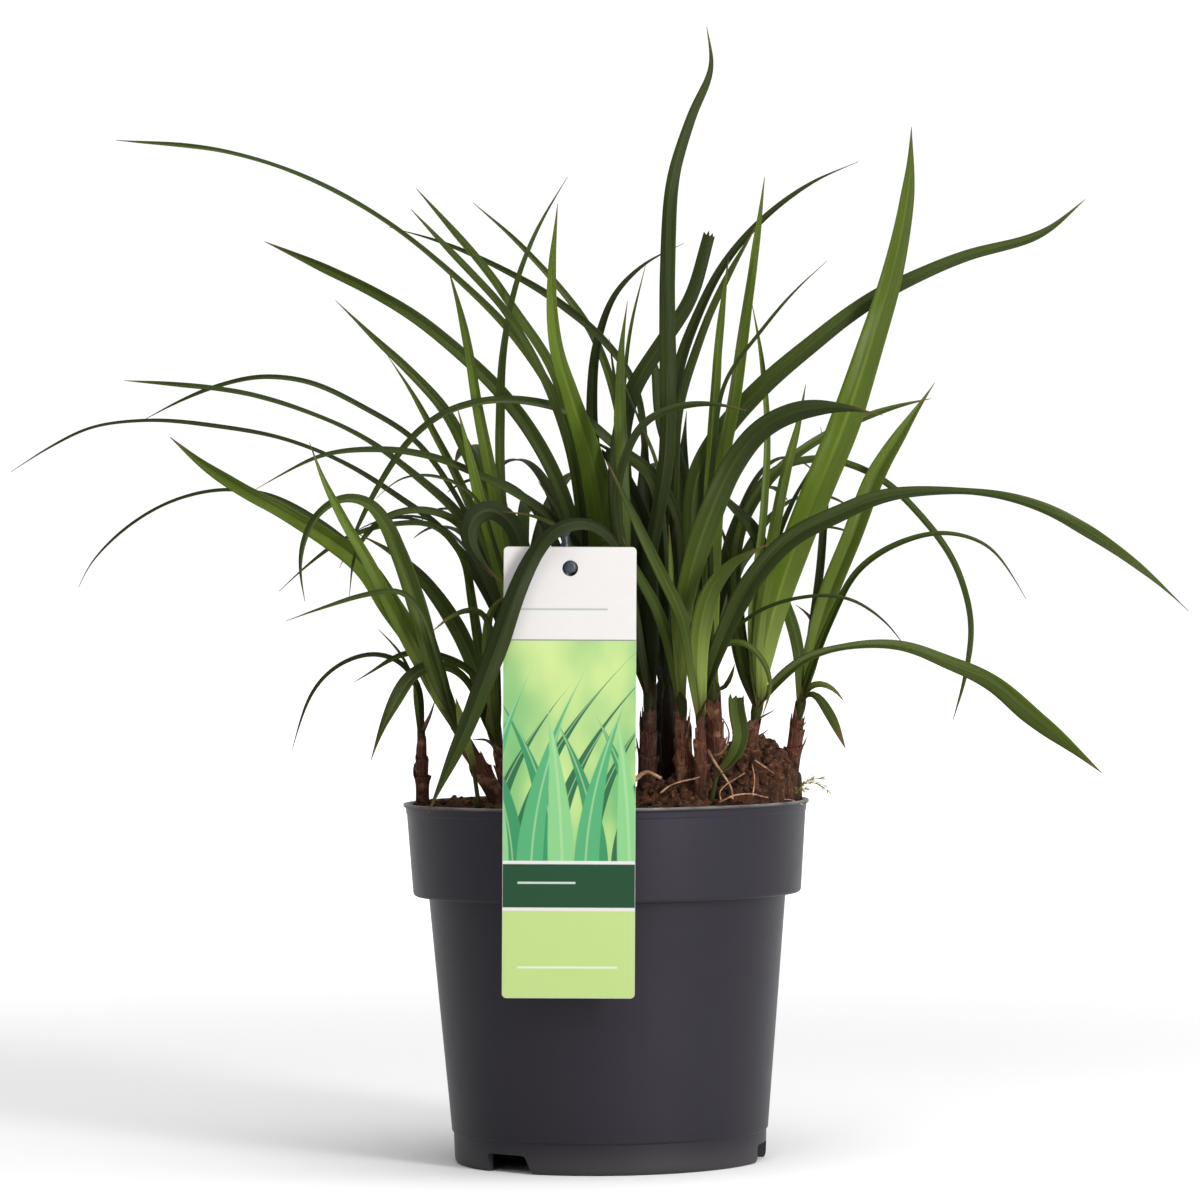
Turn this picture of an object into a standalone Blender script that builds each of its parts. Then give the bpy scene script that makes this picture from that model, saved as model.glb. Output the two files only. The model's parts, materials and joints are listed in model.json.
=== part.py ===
"""A broad-leaved sedge with its soil, label and label stake in a round nursery pot.

Lengths are in millimetres until a mesh or an object is made, and the base of the pot is at
the origin. The label hangs at the front, which is -Y.
"""

import math
import random

import bmesh
import bpy
import numpy as np
from mathutils import Vector

MM = 0.001
GAP = 0.3

# Pot: radii and heights of its outside, and the wall.
POT_SIDES = 36
LIP_RADIUS = 95.0
POT_HEIGHT = 168.0
COLLAR_TOP = (93.9, 166.0)
COLLAR_FOOT = (91.0, 128.0)
BODY_TOP = (83.3, 124.6)
BODY_FOOT = (74.0, 14.8)
FOOT_RADIUS = 72.9
WALL = 1.5
BASE_DISC_RADIUS = 45.0
RAISED_BASE = 8.0
BASE_THICK = 1.8
NOTCH_ANGLES = (-40.0, 80.0, 200.0)
NOTCH_WIDTH = 27.0
NOTCH_HEIGHT = 8.5
DRAIN_HOLES = 4
DRAIN_RING_RADIUS = 58.0
DRAIN_RADIUS = 4.5

# Soil: its level, and the mounds as centre x, y, height and spread.
SOIL_LEVEL = 168.0
MOUNDS = [(72.0, -28.0, 20.0, 20.0), (54.0, -32.0, 14.0, 22.0), (26.0, -40.0, 7.0, 24.0),
    (40.0, 38.0, 5.0, 26.0),
    (83.0, -11.0, 12.0, 15.0)]

# Label: the middle of its top edge, its size, its lean and its hole.
LABEL_TOP = (-14.8, 286.0)
LABEL_SIZE = (59.6, 202.8)
LABEL_THICK = 0.8
LABEL_DEPTH = -98.8
LABEL_LEAN = 0.95
LABEL_CORNER = 2.0
LABEL_HOLE = (-14.9, 276.4)
LABEL_HOLE_RADIUS = 3.6

# Stake: where it meets the soil, its lean to the front and the peg through the label.
STAKE_FOOT = (-16.9, -86.0, 150.0)
STAKE_LEAN = 4.0
STAKE_RADIUS = 2.3
PEG_CENTRE = (-14.6, 277.0)
PEG_RADIUS = 2.6

# Blades: the fold of their section, their thickness at the rib and how long a facet is.
FOLD = 0.34
RIB_THICK = 1.2
FACET = 26.0
FINENESS = 0.6
CROWN_SIDES = 6
SOCKET = 12.0

# Where the eye stands that the blades were measured from, in millimetres, looking along +Y.
EYE_X = -1.7
EYE_Z = 262.0
EYE_DISTANCE = 2400.0

# Each shoot: where it stands on the soil (x and z as seen, y its true depth), the crown where
# its blades part (x and z as seen), the width of its sheath there, and the sheath's top.
# A sheath top of None is a shoot that comes green out of the soil.
SHOOTS = {
    "left_stem": ((-86, -5, 168), (-86, 200), 4.0, 196),
    "left_front_shoot": ((-51, -50, 170), (-70, 204), 6.0, 198),
    "left_shoot": ((-45, -22, 170), (-50, 192), 6.0, 186),
    "label_left_shoot": ((-31, -6, 168), (-38, 214), 7.0, 204),
    "label_back_shoot": ((-10, 17, 168), (-8, 224), 7.0, 210),
    "centre_back_shoot": ((8, 46, 168), (10, 226), 7.0, 210),
    "centre_front_shoot": ((19, -36, 172), (21, 217), 6.5, 209),
    "centre_shoot": ((30, 0, 170), (30, 217), 7.0, 209),
    "inner_shoot": ((27, 28, 169), (28, 221), 9.0, 211),
    "right_inner_shoot": ((37.5, -46, 173), (35.5, 214), 6.6, 206),
    "right_middle_shoot": ((45, -55, 174), (44.5, 207), 4.8, 199),
    "mound_shoot": ((51.5, -34, 184), (50.5, 221), 7.5, 213),
    "right_shoot": ((65, -36, 182), (71.5, 211), 6.0, 203),
    "right_stem": ((86.5, -6, 180), (92, 213), 5.5, 206),
    "back_left_shoot": ((-36, 42, 168), (-40, 214), 6.5, 204),
    "back_right_shoot": ((46, 42, 170), (50, 216), 6.5, 206),
    "young_leaf": ((-60, -66, 169), (-62, 184), 3.6, None),
    "broken_leaf": ((50, -64, 170), (52, 179), 3.6, None),
}

# Each blade: its shoot, its seen widths from tip to base, its depths from tip towards base
# (the shoot's own depth comes last) and the points of its middle line as seen, tip first.
# A first width of 5 or more is a torn end.
BLADES = [
    # The stem at the far left.
    ("left_stem", (2, 5, 4), (-12,), [(-89, 229), (-87, 215)]),
    ("left_stem", (1.3, 2, 3), (-30, -18), [(-146.8, 193.6), (-142.8, 206.6), (-137, 220),
        (-129, 229.4), (-119, 235.4), (-108, 237.8), (-97.6, 235), (-89, 226)]),
    ("left_stem", (1, 2), (14,), [(-105.6, 249.4), (-96, 238.6), (-90, 226)]),
    # The broad arches that leave to the left.
    ("left_front_shoot", (4.5, 7, 11, 8), (-64, -60), [(-202.5, 341), (-188, 328.5), (-170, 316.5),
        (-150, 305), (-130, 293), (-111, 277.7), (-99.7, 260), (-89, 244), (-80, 224)]),
    ("left_front_shoot", (1, 2, 4), (-20, -30, -38), [(-246, 271), (-241.5, 280), (-233, 290),
        (-221, 300), (-200, 311), (-180, 315.2), (-158, 313), (-136, 302), (-114, 284),
        (-98, 262), (-86, 240), (-76, 220)]),
    ("left_front_shoot", (1.5, 3, 4.2, 7.5, 9, 8, 7), (-92, -84, -68), [(-140, 263), (-141.8, 277),
        (-140, 290.7), (-132.7, 303.7), (-121.4, 310.6), (-111, 309), (-102.3, 299), (-96, 286),
        (-90, 269), (-85, 252), (-80, 232)]),
    ("left_front_shoot", (2, 6, 6), (-112, -92, -66), [(-137, 337.5), (-130, 319), (-122.3, 303.7),
        (-110, 282), (-99, 258), (-88, 236)]),
    ("left_front_shoot", (1.5, 2.5, 3), (-104, -84), [(-149, 254), (-132.7, 259.5), (-109, 266),
        (-95, 267), (-86, 258), (-79, 240)]),
    # The shoot between the left side and the label.
    ("left_shoot", (2, 7, 3, 6), (-74, -60), [(-110, 188), (-105.6, 200), (-98.4, 215.4),
        (-89.6, 228), (-80, 232), (-72, 230.6), (-64, 223.4), (-57, 208)]),
    ("left_shoot", (2, 3.5, 3), (-44, -36), [(-117.6, 224.8), (-107, 231), (-97.6, 236.6),
        (-88, 238.6), (-75, 236), (-64, 230.6), (-54, 205)]),
    ("left_shoot", (2, 8, 7), (8, -8), [(-115.3, 294.6), (-105, 289), (-91, 278.5), (-79, 264.7),
        (-69.4, 251), (-62.5, 236), (-54, 208)]),
    ("left_shoot", (1, 2.5, 4, 6), (-48, -38), [(-152, 268), (-140, 278.5), (-122, 291),
        (-98, 298), (-79, 297), (-67, 284), (-62.5, 262), (-58.5, 236), (-53, 212)]),
    ("left_shoot", (3, 3), (-84, -62), [(-80.7, 248), (-68.5, 257), (-58, 258), (-52, 244),
        (-50, 218)]),
    ("left_shoot", (4, 5), (-58, -48), [(-43.4, 266), (-51, 261), (-55.5, 245), (-54, 222)]),
    ("left_shoot", (2, 9, 6), (-40,), [(-55, 212), (-52, 201)]),
    ("young_leaf", (2, 5, 4), (-68,), [(-69.8, 217), (-68, 207), (-65, 194)]),
    # The shoots behind the label: the far left arches.
    ("label_left_shoot", (1.1, 1.6, 1.9, 3, 4.5), (-44, -26), [(-277, 325.5), (-260, 336), (-240, 345.3),
        (-215, 348.3), (-180, 345), (-150, 339), (-120, 326.6), (-94, 309.7), (-76, 296),
        (-62.5, 277), (-46, 244)]),
    ("label_left_shoot", (3, 1.6, 4.5, 7), (26, 16), [(-223.5, 367.6), (-195, 365), (-165, 359.8),
        (-140, 352), (-111, 338.3), (-85, 318.4), (-69, 303.7), (-52, 272), (-41, 240)]),
    ("label_left_shoot", (1.6, 2.6, 2.3, 3.5), (66, 44, 20), [(-214.5, 349), (-200, 356.5), (-180, 364.5),
        (-162, 368.3), (-140, 366.3), (-111, 353), (-87.6, 337.5), (-72, 316.7), (-56, 284),
        (-43, 246)]),
    ("label_left_shoot", (1, 2, 4), (-62, -44), [(-106, 311), (-95, 319.7), (-77, 320.5),
        (-62, 312.5), (-50, 284), (-41, 250)]),
    ("label_left_shoot", (1.5, 4, 4), (-82, -58), [(-119.2, 265), (-115.5, 287), (-101, 303),
        (-82, 305.5), (-69, 300.5), (-58, 280), (-47, 252)]),
    ("label_left_shoot", (3, 10, 8, 6, 6), (-88, -74, -46), [(-47, 270), (-57, 280), (-63, 291),
        (-60.5, 302), (-52, 305.5), (-43, 299), (-37, 282), (-34, 248)]),
    ("label_left_shoot", (2, 7, 6), (44, 20), [(-124, 404), (-110, 390), (-90, 370), (-73, 350),
        (-63, 331), (-50, 300), (-41, 256)]),
    ("label_left_shoot", (1.6, 5, 5), (10, 4), [(-100, 378), (-88, 359), (-76.3, 336),
        (-66.8, 317), (-52, 282), (-41, 246)]),
    ("label_left_shoot", (2, 7, 6), (-56, -34), [(-67.7, 354), (-63.3, 337.5), (-58, 315),
        (-50, 284), (-40, 246)]),
    ("label_left_shoot", (3, 6, 5), (-24, -16), [(-71, 418.5), (-66, 400), (-60.5, 372),
        (-56.4, 347), (-52, 322), (-44, 270)]),
    ("label_left_shoot", (1, 4.5, 4.5), (-40, -8), [(-14.5, 460.5), (-27, 440), (-38.5, 414),
        (-46, 380), (-47.7, 343), (-47, 306), (-40, 258)]),
    # The tall arches over the label.
    ("label_back_shoot", (2.5, 1.7, 3.2, 5, 6), (4, 12), [(-226, 480.3), (-178.5, 475), (-140, 462.5),
        (-100, 440), (-70, 415.5), (-40, 384.5), (-20, 352), (-10, 300), (-8, 256)]),
    ("label_back_shoot", (4, 7, 6), (84, 44), [(-157, 432), (-130, 419.5), (-100, 404),
        (-70, 381.5), (-40, 351), (-19.3, 313), (-9, 262)]),
    ("label_back_shoot", (3, 5, 5), (-26, -12), [(-85.5, 456), (-70, 438), (-55, 420),
        (-40, 399), (-22, 370), (-12, 320), (-8, 262)]),
    ("label_back_shoot", (3, 4, 4), (-52, -28), [(-88.3, 446.5), (-75, 432), (-60, 416),
        (-45, 399), (-30, 374), (-16, 336), (-9, 270)]),
    ("label_back_shoot", (2.5, 4.5, 8, 13.5, 14, 9), (-84, -60, -20), [(-19.3, 448), (-22.5, 410),
        (-20, 380), (-14, 357), (-4.5, 326), (0, 296), (-2, 256)]),
    ("label_back_shoot", (1, 3, 4.5, 4), (-66, -52, -30), [(-163, 315.5), (-150, 322.7),
        (-132, 331), (-107, 333.5), (-80.7, 330), (-60, 322), (-35, 309), (-15, 292), (-8, 258)]),
    ("label_back_shoot", (2, 3), (-72, -50), [(-47, 304), (-33, 302), (-20, 296), (-11, 270)]),
    ("label_back_shoot", (2, 3), (-40, -20), [(-30, 318), (-20, 302), (-12, 270)]),
    # Behind the centre.
    ("centre_back_shoot", (1, 4, 3, 4), (66, 58), [(-98.5, 438), (-75, 431), (-50, 420),
        (-20, 402), (0, 385), (14, 366), (20, 330), (14, 272)]),
    ("centre_back_shoot", (2, 4.5, 5), (100, 74), [(-59, 449), (-40, 432), (-22, 412),
        (-5, 388), (7, 354), (12, 300), (11, 258)]),
    ("centre_back_shoot", (1, 6, 4.5), (88, 64), [(39.7, 428.7), (21, 419), (8, 406), (0, 386),
        (-4, 352), (0, 300), (6, 256)]),
    ("centre_front_shoot", (2, 6, 6, 5), (-74, -62), [(12.9, 402), (9.8, 380), (9, 350), (10, 300),
        (10, 256)]),
    ("centre_back_shoot", (1.5, 3), (110, 80), [(21.5, 418.5), (14, 388), (11, 360), (10, 290)]),
    ("centre_front_shoot", (2, 4), (-66, -52), [(4, 385), (7, 360), (9, 320), (9, 266)]),
    ("centre_back_shoot", (3, 7, 6), (-4, 22), [(1.6, 320), (8.8, 290), (10, 258)]),
    # In front of the centre.
    ("centre_front_shoot", (2.5, 6, 7.8, 6.5, 5), (-78, -88, -62), [(51.6, 530), (53.7, 512), (44.3, 489),
        (34.6, 458), (31.3, 415), (31.5, 370), (30, 330), (20, 270)]),
    ("centre_front_shoot", (5.5, 7, 9, 10, 8), (-56, -46), [(52, 434), (41, 400), (28, 381), (14, 358),
        (8, 330), (12, 270)]),
    ("centre_front_shoot", (3, 4, 4), (-92, -66), [(68, 350), (53, 353.3), (35, 352), (20, 345),
        (9, 324), (12, 270)]),
    ("centre_front_shoot", (2.5, 7.5, 10, 8, 4.5, 3, 3), (-66, -78, -92, -104, -108, -108, -108, -108,
        -107, -96, -84, -70, -54),
        [(-84.5, 161), (-77.6, 176), (-70.4, 191.4), (-63, 208), (-56, 226), (-48.6, 244.7),
        (-41.7, 264), (-34.7, 279.4), (-27, 291.5), (-18, 297.7), (-4.5, 298), (6, 289),
        (13, 266), (17, 240)]),
    ("centre_front_shoot", (6, 14, 8), (-18, -24), [(2, 334), (10, 318), (18, 298), (19, 256)]),
    ("centre_front_shoot", (2, 10, 8), (-28, -32), [(24, 304), (21.5, 275), (21, 245)]),
    ("centre_front_shoot", (1.5, 2.5), (-74, -58), [(-1, 290), (10, 289), (15, 262)]),
    # The centre.
    ("centre_shoot", (1, 6, 5), (50, 30), [(122, 466), (100, 456.4), (80.4, 442.4), (60, 420),
        (45.4, 393), (37, 371), (33, 330), (29, 270)]),
    ("centre_shoot", (3, 4.5, 5), (-22, -8), [(74, 437), (60, 413), (46, 383), (36.5, 354),
        (33, 310), (28, 262)]),
    ("centre_shoot", (2, 3.5, 5, 4), (-46, -30, -10), [(-123.6, 278.5), (-117, 293),
        (-108.4, 310.6), (-99, 326), (-87.6, 340), (-73.7, 350), (-50, 356), (-29.7, 354.5),
        (-12, 349), (7.6, 333), (25, 320), (36, 296), (33, 256)]),
    ("centre_shoot", (2, 4, 4), (-34, -16), [(-12.5, 341), (6, 331), (20, 322), (28, 290)]),
    ("centre_shoot", (1, 2, 3), (-56, -36), [(9, 368), (19, 343.6), (25.6, 327.6), (29, 300)]),
    ("centre_shoot", (7, 9, 7), (26, 18), [(27, 372), (29, 345), (36, 322), (34, 270)]),
    ("centre_shoot", (2, 9, 8), (-14, -6), [(34, 302), (31.5, 272), (30.5, 245)]),
    # Dark growth inside the clump.
    ("inner_shoot", (2, 12, 13, 8), (34, 30), [(19, 345), (21, 310), (23, 280), (26, 250)]),
    ("inner_shoot", (2, 11, 11, 7), (48, 38), [(40, 350), (37, 320), (33, 290), (31, 255)]),
    ("inner_shoot", (2, 9, 9, 6), (12, 20), [(13, 318), (18, 290), (23, 262), (26, 240)]),
    ("inner_shoot", (2, 8, 8, 6), (56, 42), [(58, 312), (50, 285), (42, 260), (34, 240)]),
    # Right of the centre.
    ("right_inner_shoot", (1.5, 9, 10.5, 11.5, 8, 5.5), (-104, -92, -70), [(132, 347),
        (112, 351), (92, 349.5), (76, 342), (61.6, 325), (51.6, 304), (44.5, 285), (39, 266),
        (36.5, 248), (35.2, 231)]),
    ("right_inner_shoot", (2, 3.5), (-74, -58), [(31, 297), (32.5, 268), (34, 240)]),
    ("right_inner_shoot", (2, 5, 6, 5), (-62, -58), [(9, 292), (16.9, 273.7), (23.9, 261),
        (30.5, 242), (34.2, 224)]),
    ("right_middle_shoot", (1, 6, 3, 8, 9.5, 5), (-58, -66, -84, -92, -74), [(274, 253.5),
        (260, 267), (240, 283), (220, 295.7), (190, 307.3), (160, 310.5), (130, 308),
        (105, 298.6), (90.5, 291.5), (78.3, 281), (66.6, 265.8), (57.2, 247.5), (48.5, 224)]),
    ("right_middle_shoot", (1.2, 1.6, 2), (-92, -74, -46), [(142.8, 236), (132, 250),
        (116, 260.7), (90, 261.5), (68, 253), (52, 234.7), (45, 218)]),
    ("right_middle_shoot", (2, 6, 10, 8.5, 6), (-90, -80), [(78, 287.5), (62, 280), (52, 269),
        (46, 251), (44, 228)]),
    ("right_middle_shoot", (2, 5, 6, 5), (-84, -88, -76), [(2.4, 327), (11.3, 309), (26.7, 276),
        (37.5, 252), (42, 226)]),
    ("right_middle_shoot", (2, 3, 2), (-78, -60), [(73.7, 206.7), (78, 221), (75.3, 231),
        (63, 242), (50, 236), (45, 224)]),
    ("mound_shoot", (2.5, 5, 7, 6), (-66, -50), [(77.9, 459.5), (74, 431), (66.7, 389),
        (62, 357), (55, 320), (51, 270), (50, 240)]),
    ("mound_shoot", (3, 5, 5), (-58, -46), [(60.4, 421), (56.6, 392), (53, 357),
        (50, 310), (49, 250)]),
    ("mound_shoot", (1, 2.2, 3), (-96, -70), [(106.6, 419.6), (91.6, 406), (74.8, 387),
        (58.5, 365), (52, 330), (50, 270)]),
    ("mound_shoot", (3, 7, 10, 8), (-50, -56, -44), [(228, 447), (210.6, 433), (170, 420.7),
        (131, 404), (100, 381.5), (72, 357.7), (56, 339.6), (45, 320), (42, 292), (46, 250)]),
    ("mound_shoot", (2, 3.5, 3), (-44,), [(61, 231), (58, 221), (54.5, 217)]),
    ("mound_shoot", (2, 4), (-40,), [(48.8, 290), (48.5, 262), (49.5, 238)]),
    # The right shoot with the big bright blade.
    ("right_shoot", (3.5, 10, 14.5, 14, 7), (-74, -62), [(147, 482), (146, 460), (138, 416),
        (126, 378), (112.8, 340), (100, 310), (84.5, 270), (76, 240), (72.5, 222)]),
    ("right_shoot", (4.5, 9, 6, 2.5, 6), (-108, -80, -56), [(232.6, 178), (220, 189), (200, 205),
        (180, 222), (160, 230.5), (140, 238), (116, 238.4), (93, 232), (80, 221), (74, 214)]),
    ("right_shoot", (3, 5, 5), (16, -8), [(154.5, 354.5), (140, 351.5), (104, 337), (80, 319),
        (66, 298), (62, 262), (66, 228)]),
    ("right_shoot", (3, 5.5, 5), (-66, -56), [(96, 362), (92, 342), (85, 318), (79, 287),
        (72, 244)]),
    ("right_shoot", (2, 4), (-14, -24), [(101, 328), (88, 304), (79, 280), (70, 240)]),
    ("right_shoot", (2, 3.5, 4), (-30, -34), [(71.3, 400), (75.5, 374), (77.2, 338), (75, 300),
        (69, 250)]),
    ("right_shoot", (4, 8, 6), (-36, -30), [(47, 319), (58, 308), (72, 291), (76, 270),
        (70, 234)]),
    ("right_shoot", (2.5, 3.5, 4), (44, 20), [(163, 203.5), (169, 224), (172, 250), (165, 276),
        (150, 298), (127.6, 318.7), (100, 326.8), (80, 321), (66, 298), (60, 262), (65, 226)]),
    ("right_shoot", (2, 5, 5), (0, -20), [(54, 300), (61, 275), (65, 240)]),
    ("broken_leaf", (7, 8, 7.5, 5), (-56,), [(61.5, 217), (61.6, 208), (64, 198), (60, 187),
        (55, 181)]),
    # The stem on the mound at the far right.
    ("right_stem", (2.5, 9.5, 9.5, 6), (22, 8), [(156.5, 362), (142, 341), (128.7, 320), (116.5, 290),
        (104, 260), (96, 232)]),
    ("right_stem", (1, 2.5, 4), (-50, -26), [(198, 260), (192.5, 269.6), (180, 285), (160, 291),
        (140, 287), (120, 274.5), (107, 252), (97, 228)]),
    ("right_stem", (1, 4, 5), (-18,), [(111.8, 213.4), (105, 220.6), (97, 221)]),
    ("right_stem", (3, 5, 4), (-34, -20), [(112.5, 191), (109, 199), (102, 212), (96, 218)]),
    ("right_stem", (3, 6, 5), (-24, -14), [(76, 285), (86, 258), (91.5, 236)]),
    ("right_stem", (1, 4, 4), (16, 6), [(90, 258.5), (97, 253), (99, 236), (94, 220)]),
    ("right_stem", (2, 4, 4), (42, 20), [(102.7, 342), (105, 320), (103.3, 290), (98, 250)]),
]
# How far apart in depth two blades of different shoots stay, and two of one shoot.
CLEAR = 1.5
CLEAR_WITHIN = 0.5
SAMPLE = 4.0


def seen_to_real(x, depth, z):
    """Pushes a point that is seen at x, z along its sight line to its true depth."""
    scale = (EYE_DISTANCE + depth) / EYE_DISTANCE
    return np.stack(
        [EYE_X + (x - EYE_X) * scale, depth, EYE_Z + (z - EYE_Z) * scale], axis=-1)


def smooth_curve(points, step):
    """Points every step along a smooth curve through the given ones."""
    points = np.array(points, float)
    along = np.append(0, np.cumsum(np.linalg.norm(np.diff(points, axis=0), axis=1)))
    slope = np.gradient(points, along, axis=0)
    count = max(2, math.ceil(along[-1] / step))
    at = np.linspace(0, along[-1], count + 1)
    k = np.clip(np.searchsorted(along, at, side="right") - 1, 0, len(points) - 2)
    span = along[k + 1] - along[k]
    t = ((at - along[k]) / span)[:, None]
    span = span[:, None]
    return ((2 * t**3 - 3 * t**2 + 1) * points[k] + (t**3 - 2 * t**2 + t) * span * slope[k]
        + (3 * t**2 - 2 * t**3) * points[k + 1] + (t**3 - t**2) * span * slope[k + 1])


def spread(values, count):
    """The values as an even run of count numbers."""
    return np.interp(np.linspace(0, 1, count), np.linspace(0, 1, len(values)), values)


class Blade:
    """One blade: its middle line as seen, with its depth, seen half width and tilt."""

    def __init__(self, shoot, widths, depths, points):
        (_, base_depth, _), crown, _, _ = SHOOTS[shoot]
        self.shoot = shoot
        self.line = smooth_curve(list(points) + [crown], SAMPLE)
        count = len(self.line)
        steps = np.linalg.norm(np.diff(self.line, axis=0), axis=1)
        self.along = np.append(0, np.cumsum(steps))
        self.depth = spread(list(depths) + [base_depth], count)
        for _ in range(count // 3):
            self.depth[1:-1] = (self.depth[:-2] + 2 * self.depth[1:-1] + self.depth[2:]) / 4
        left = self.along[-1] - self.along
        self.half = spread(widths, count) / 2
        if widths[0] < 5:
            point = np.minimum(1, self.along / min(30, self.along[-1] / 4)) ** 0.75
            self.half = np.maximum(self.half * point, 0.12)
        self.half *= np.clip(0.5 + 0.5 * left / 20, 0, 1)
        # The blade is as wide as its widest seen part, and what isn't seen of it lies in depth.
        full = min(max(widths), 7.5) / 2 * np.minimum(1, self.along / (0.3 * self.along[-1]))
        self.tilt = np.minimum(np.sqrt(np.maximum(full**2 - self.half**2, 0)), 2.4)
        self.free = np.clip((left - 12) / 40, 0, 1)

    def across(self):
        """The line from the middle to one edge, at each point. The upper edge lies further off."""
        run = np.gradient(self.line, axis=0)
        run /= np.linalg.norm(run, axis=1)[:, None]
        side = np.stack([-run[:, 1], 0 * self.half, run[:, 0]], axis=-1)
        upper = 1.0 if side[:, 2].mean() > 0 else -1.0
        side *= self.half[:, None]
        side[:, 1] = upper * self.tilt
        return side

    def middle(self):
        """The true middle line."""
        return seen_to_real(self.line[:, 0], self.depth, self.line[:, 1])


class GrownBlade(Blade):
    """A blade that the front view hides, grown by rule towards a compass angle."""

    def __init__(self, shoot, angle, reach, rise, width):
        (_, base_depth, _), crown, _, _ = SHOOTS[shoot]
        self.shoot = shoot
        count = max(8, round((reach + rise) / SAMPLE))
        t = np.linspace(1, 0, count)
        out = reach * t**1.5
        scale = (EYE_DISTANCE + base_depth) / EYE_DISTANCE
        x = EYE_X + (crown[0] - EYE_X) * scale + out * math.cos(angle)
        z = EYE_Z + (crown[1] - EYE_Z) * scale + rise * (2.1 * t - 1.1 * t**2.6)
        self.depth = base_depth + out * math.sin(angle)
        scale = (EYE_DISTANCE + self.depth) / EYE_DISTANCE
        self.line = np.stack([EYE_X + (x - EYE_X) / scale, EYE_Z + (z - EYE_Z) / scale], axis=-1)
        steps = np.hypot(np.hypot(*np.diff(self.line, axis=0).T), np.diff(self.depth))
        self.along = np.append(0, np.cumsum(steps))
        left = self.along[-1] - self.along
        self.wide = np.interp(self.along, [0, 12, 0.5 * self.along[-1], self.along[-1] - 15,
            self.along[-1]], [0.4, width * 0.5, width, width * 0.7, width * 0.3]) / 2
        self.half = self.wide * max(0.3, abs(math.sin(angle)))
        self.tilt = self.wide * abs(math.cos(angle))
        self.free = np.clip((left - 12) / 40, 0, 1)
        self.flat = (-math.sin(angle), math.cos(angle), 0)

    def across(self):
        return self.wide[:, None] * np.array(self.flat)


def settle(blades, posts):
    """Bends blades apart in depth where they would cross, without moving what is seen."""
    line = np.concatenate([b.line for b in blades] + [p[0] for p in posts])
    depth = np.concatenate([b.depth for b in blades] + [p[1] for p in posts])
    half = np.concatenate([b.half for b in blades] + [p[2] for p in posts])
    thick = np.concatenate([b.tilt + b.half * 0.35 for b in blades] + [p[3] for p in posts])
    free = np.concatenate([b.free for b in blades] + [0 * p[1] for p in posts])
    counts = [len(b.line) for b in blades] + [len(p[0]) for p in posts]
    owner = np.repeat(np.arange(len(counts)), counts)
    names = sorted(SHOOTS)
    group = [names.index(b.shoot) for b in blades] + [names.index(p[4]) if p[4] else -1 - n
        for n, p in enumerate(posts)]
    group = np.repeat(group, counts)

    first, second = [], []
    for i in range(len(line) - 1):
        gap = np.hypot(*(line[i + 1:] - line[i]).T)
        j = i + 1 + np.nonzero(
            (gap < half[i + 1:] + half[i] + SAMPLE * 0.7) & (owner[i + 1:] != owner[i])
            & (free[i + 1:] + free[i] > 0))[0]
        same = group[j] == group[i]
        j = j[~same | ((free[j] > 0.99) & (free[i] > 0.99))]
        first.append(np.full(len(j), i))
        second.append(j)
    i, j = np.concatenate(first), np.concatenate(second)
    within = group[i] == group[j]
    need = thick[i] + thick[j] + np.where(within, CLEAR_WITHIN, CLEAR)
    # Each pair of blades keeps one order in depth all along.
    pair = owner[i] * len(counts) + owner[j]
    keys, place = np.unique(pair, return_inverse=True)
    mean = np.bincount(place, depth[i] - depth[j]) / np.bincount(place)
    order = np.where(mean >= 0, 1.0, -1.0)[place]
    # A blade may pass in front of the label and dip behind it further on.
    beside = (group[i] < 0) | (group[j] < 0)
    order = np.where(beside, np.where(depth[i] >= depth[j], 1.0, -1.0), order)
    starts = np.append(0, np.cumsum(counts))
    weight = free[i] / (free[i] + free[j])
    for turn in range(260):
        short = np.maximum(0, need - order * (depth[i] - depth[j]))
        if short.max() < 0.05:
            break
        push = np.bincount(i, order * short * weight, len(line))
        push -= np.bincount(j, order * short * (1 - weight), len(line))
        hits = np.bincount(i, short > 0, len(line)) + np.bincount(j, short > 0, len(line))
        push = push / np.maximum(hits, 1) * 1.3
        for b, blade in enumerate(blades):
            part = slice(starts[b], starts[b + 1])
            soft = np.convolve(np.pad(push[part], 4, mode="edge"), np.ones(9) / 9, "valid")
            # A push acts in full where it is needed and fades along the blade.
            depth[part] += np.where(abs(push[part]) > abs(soft), push[part] * 0.5 + soft * 0.5,
                soft) * free[part]
            if turn % 4 == 0:
                d = depth[part]
                d[1:-1] += (d[:-2] - 2 * d[1:-1] + d[2:]) * 0.22 * free[part][1:-1]
    for b, blade in enumerate(blades):
        blade.depth = depth[starts[b]:starts[b + 1]]
    return short, i, j, owner


def grow_back_blades():
    """The blades of the back shoots and those that lean to the back from the middle ones."""
    draw = random.Random(11)
    blades = []
    fans = [("back_left_shoot", 7, 60, 205), ("back_right_shoot", 7, -25, 120),
        ("centre_back_shoot", 3, 62, 122), ("label_back_shoot", 2, 100, 150)]
    for shoot, count, start, end in fans:
        for n in range(count):
            angle = math.radians(start + (end - start) * (n + draw.uniform(0.2, 0.8)) / count)
            back = max(0.0, math.sin(angle))
            reach = draw.uniform(45, 80) + 60 * back * draw.random()
            rise = draw.uniform(55, 95) + 65 * back * draw.random()
            blades.append(GrownBlade(shoot, angle, reach, rise, draw.uniform(6.5, 9)))
    return blades



def scene_object(name, mesh, collection):
    obj = bpy.data.objects.new(name, mesh)
    collection.objects.link(obj)
    return obj


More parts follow.
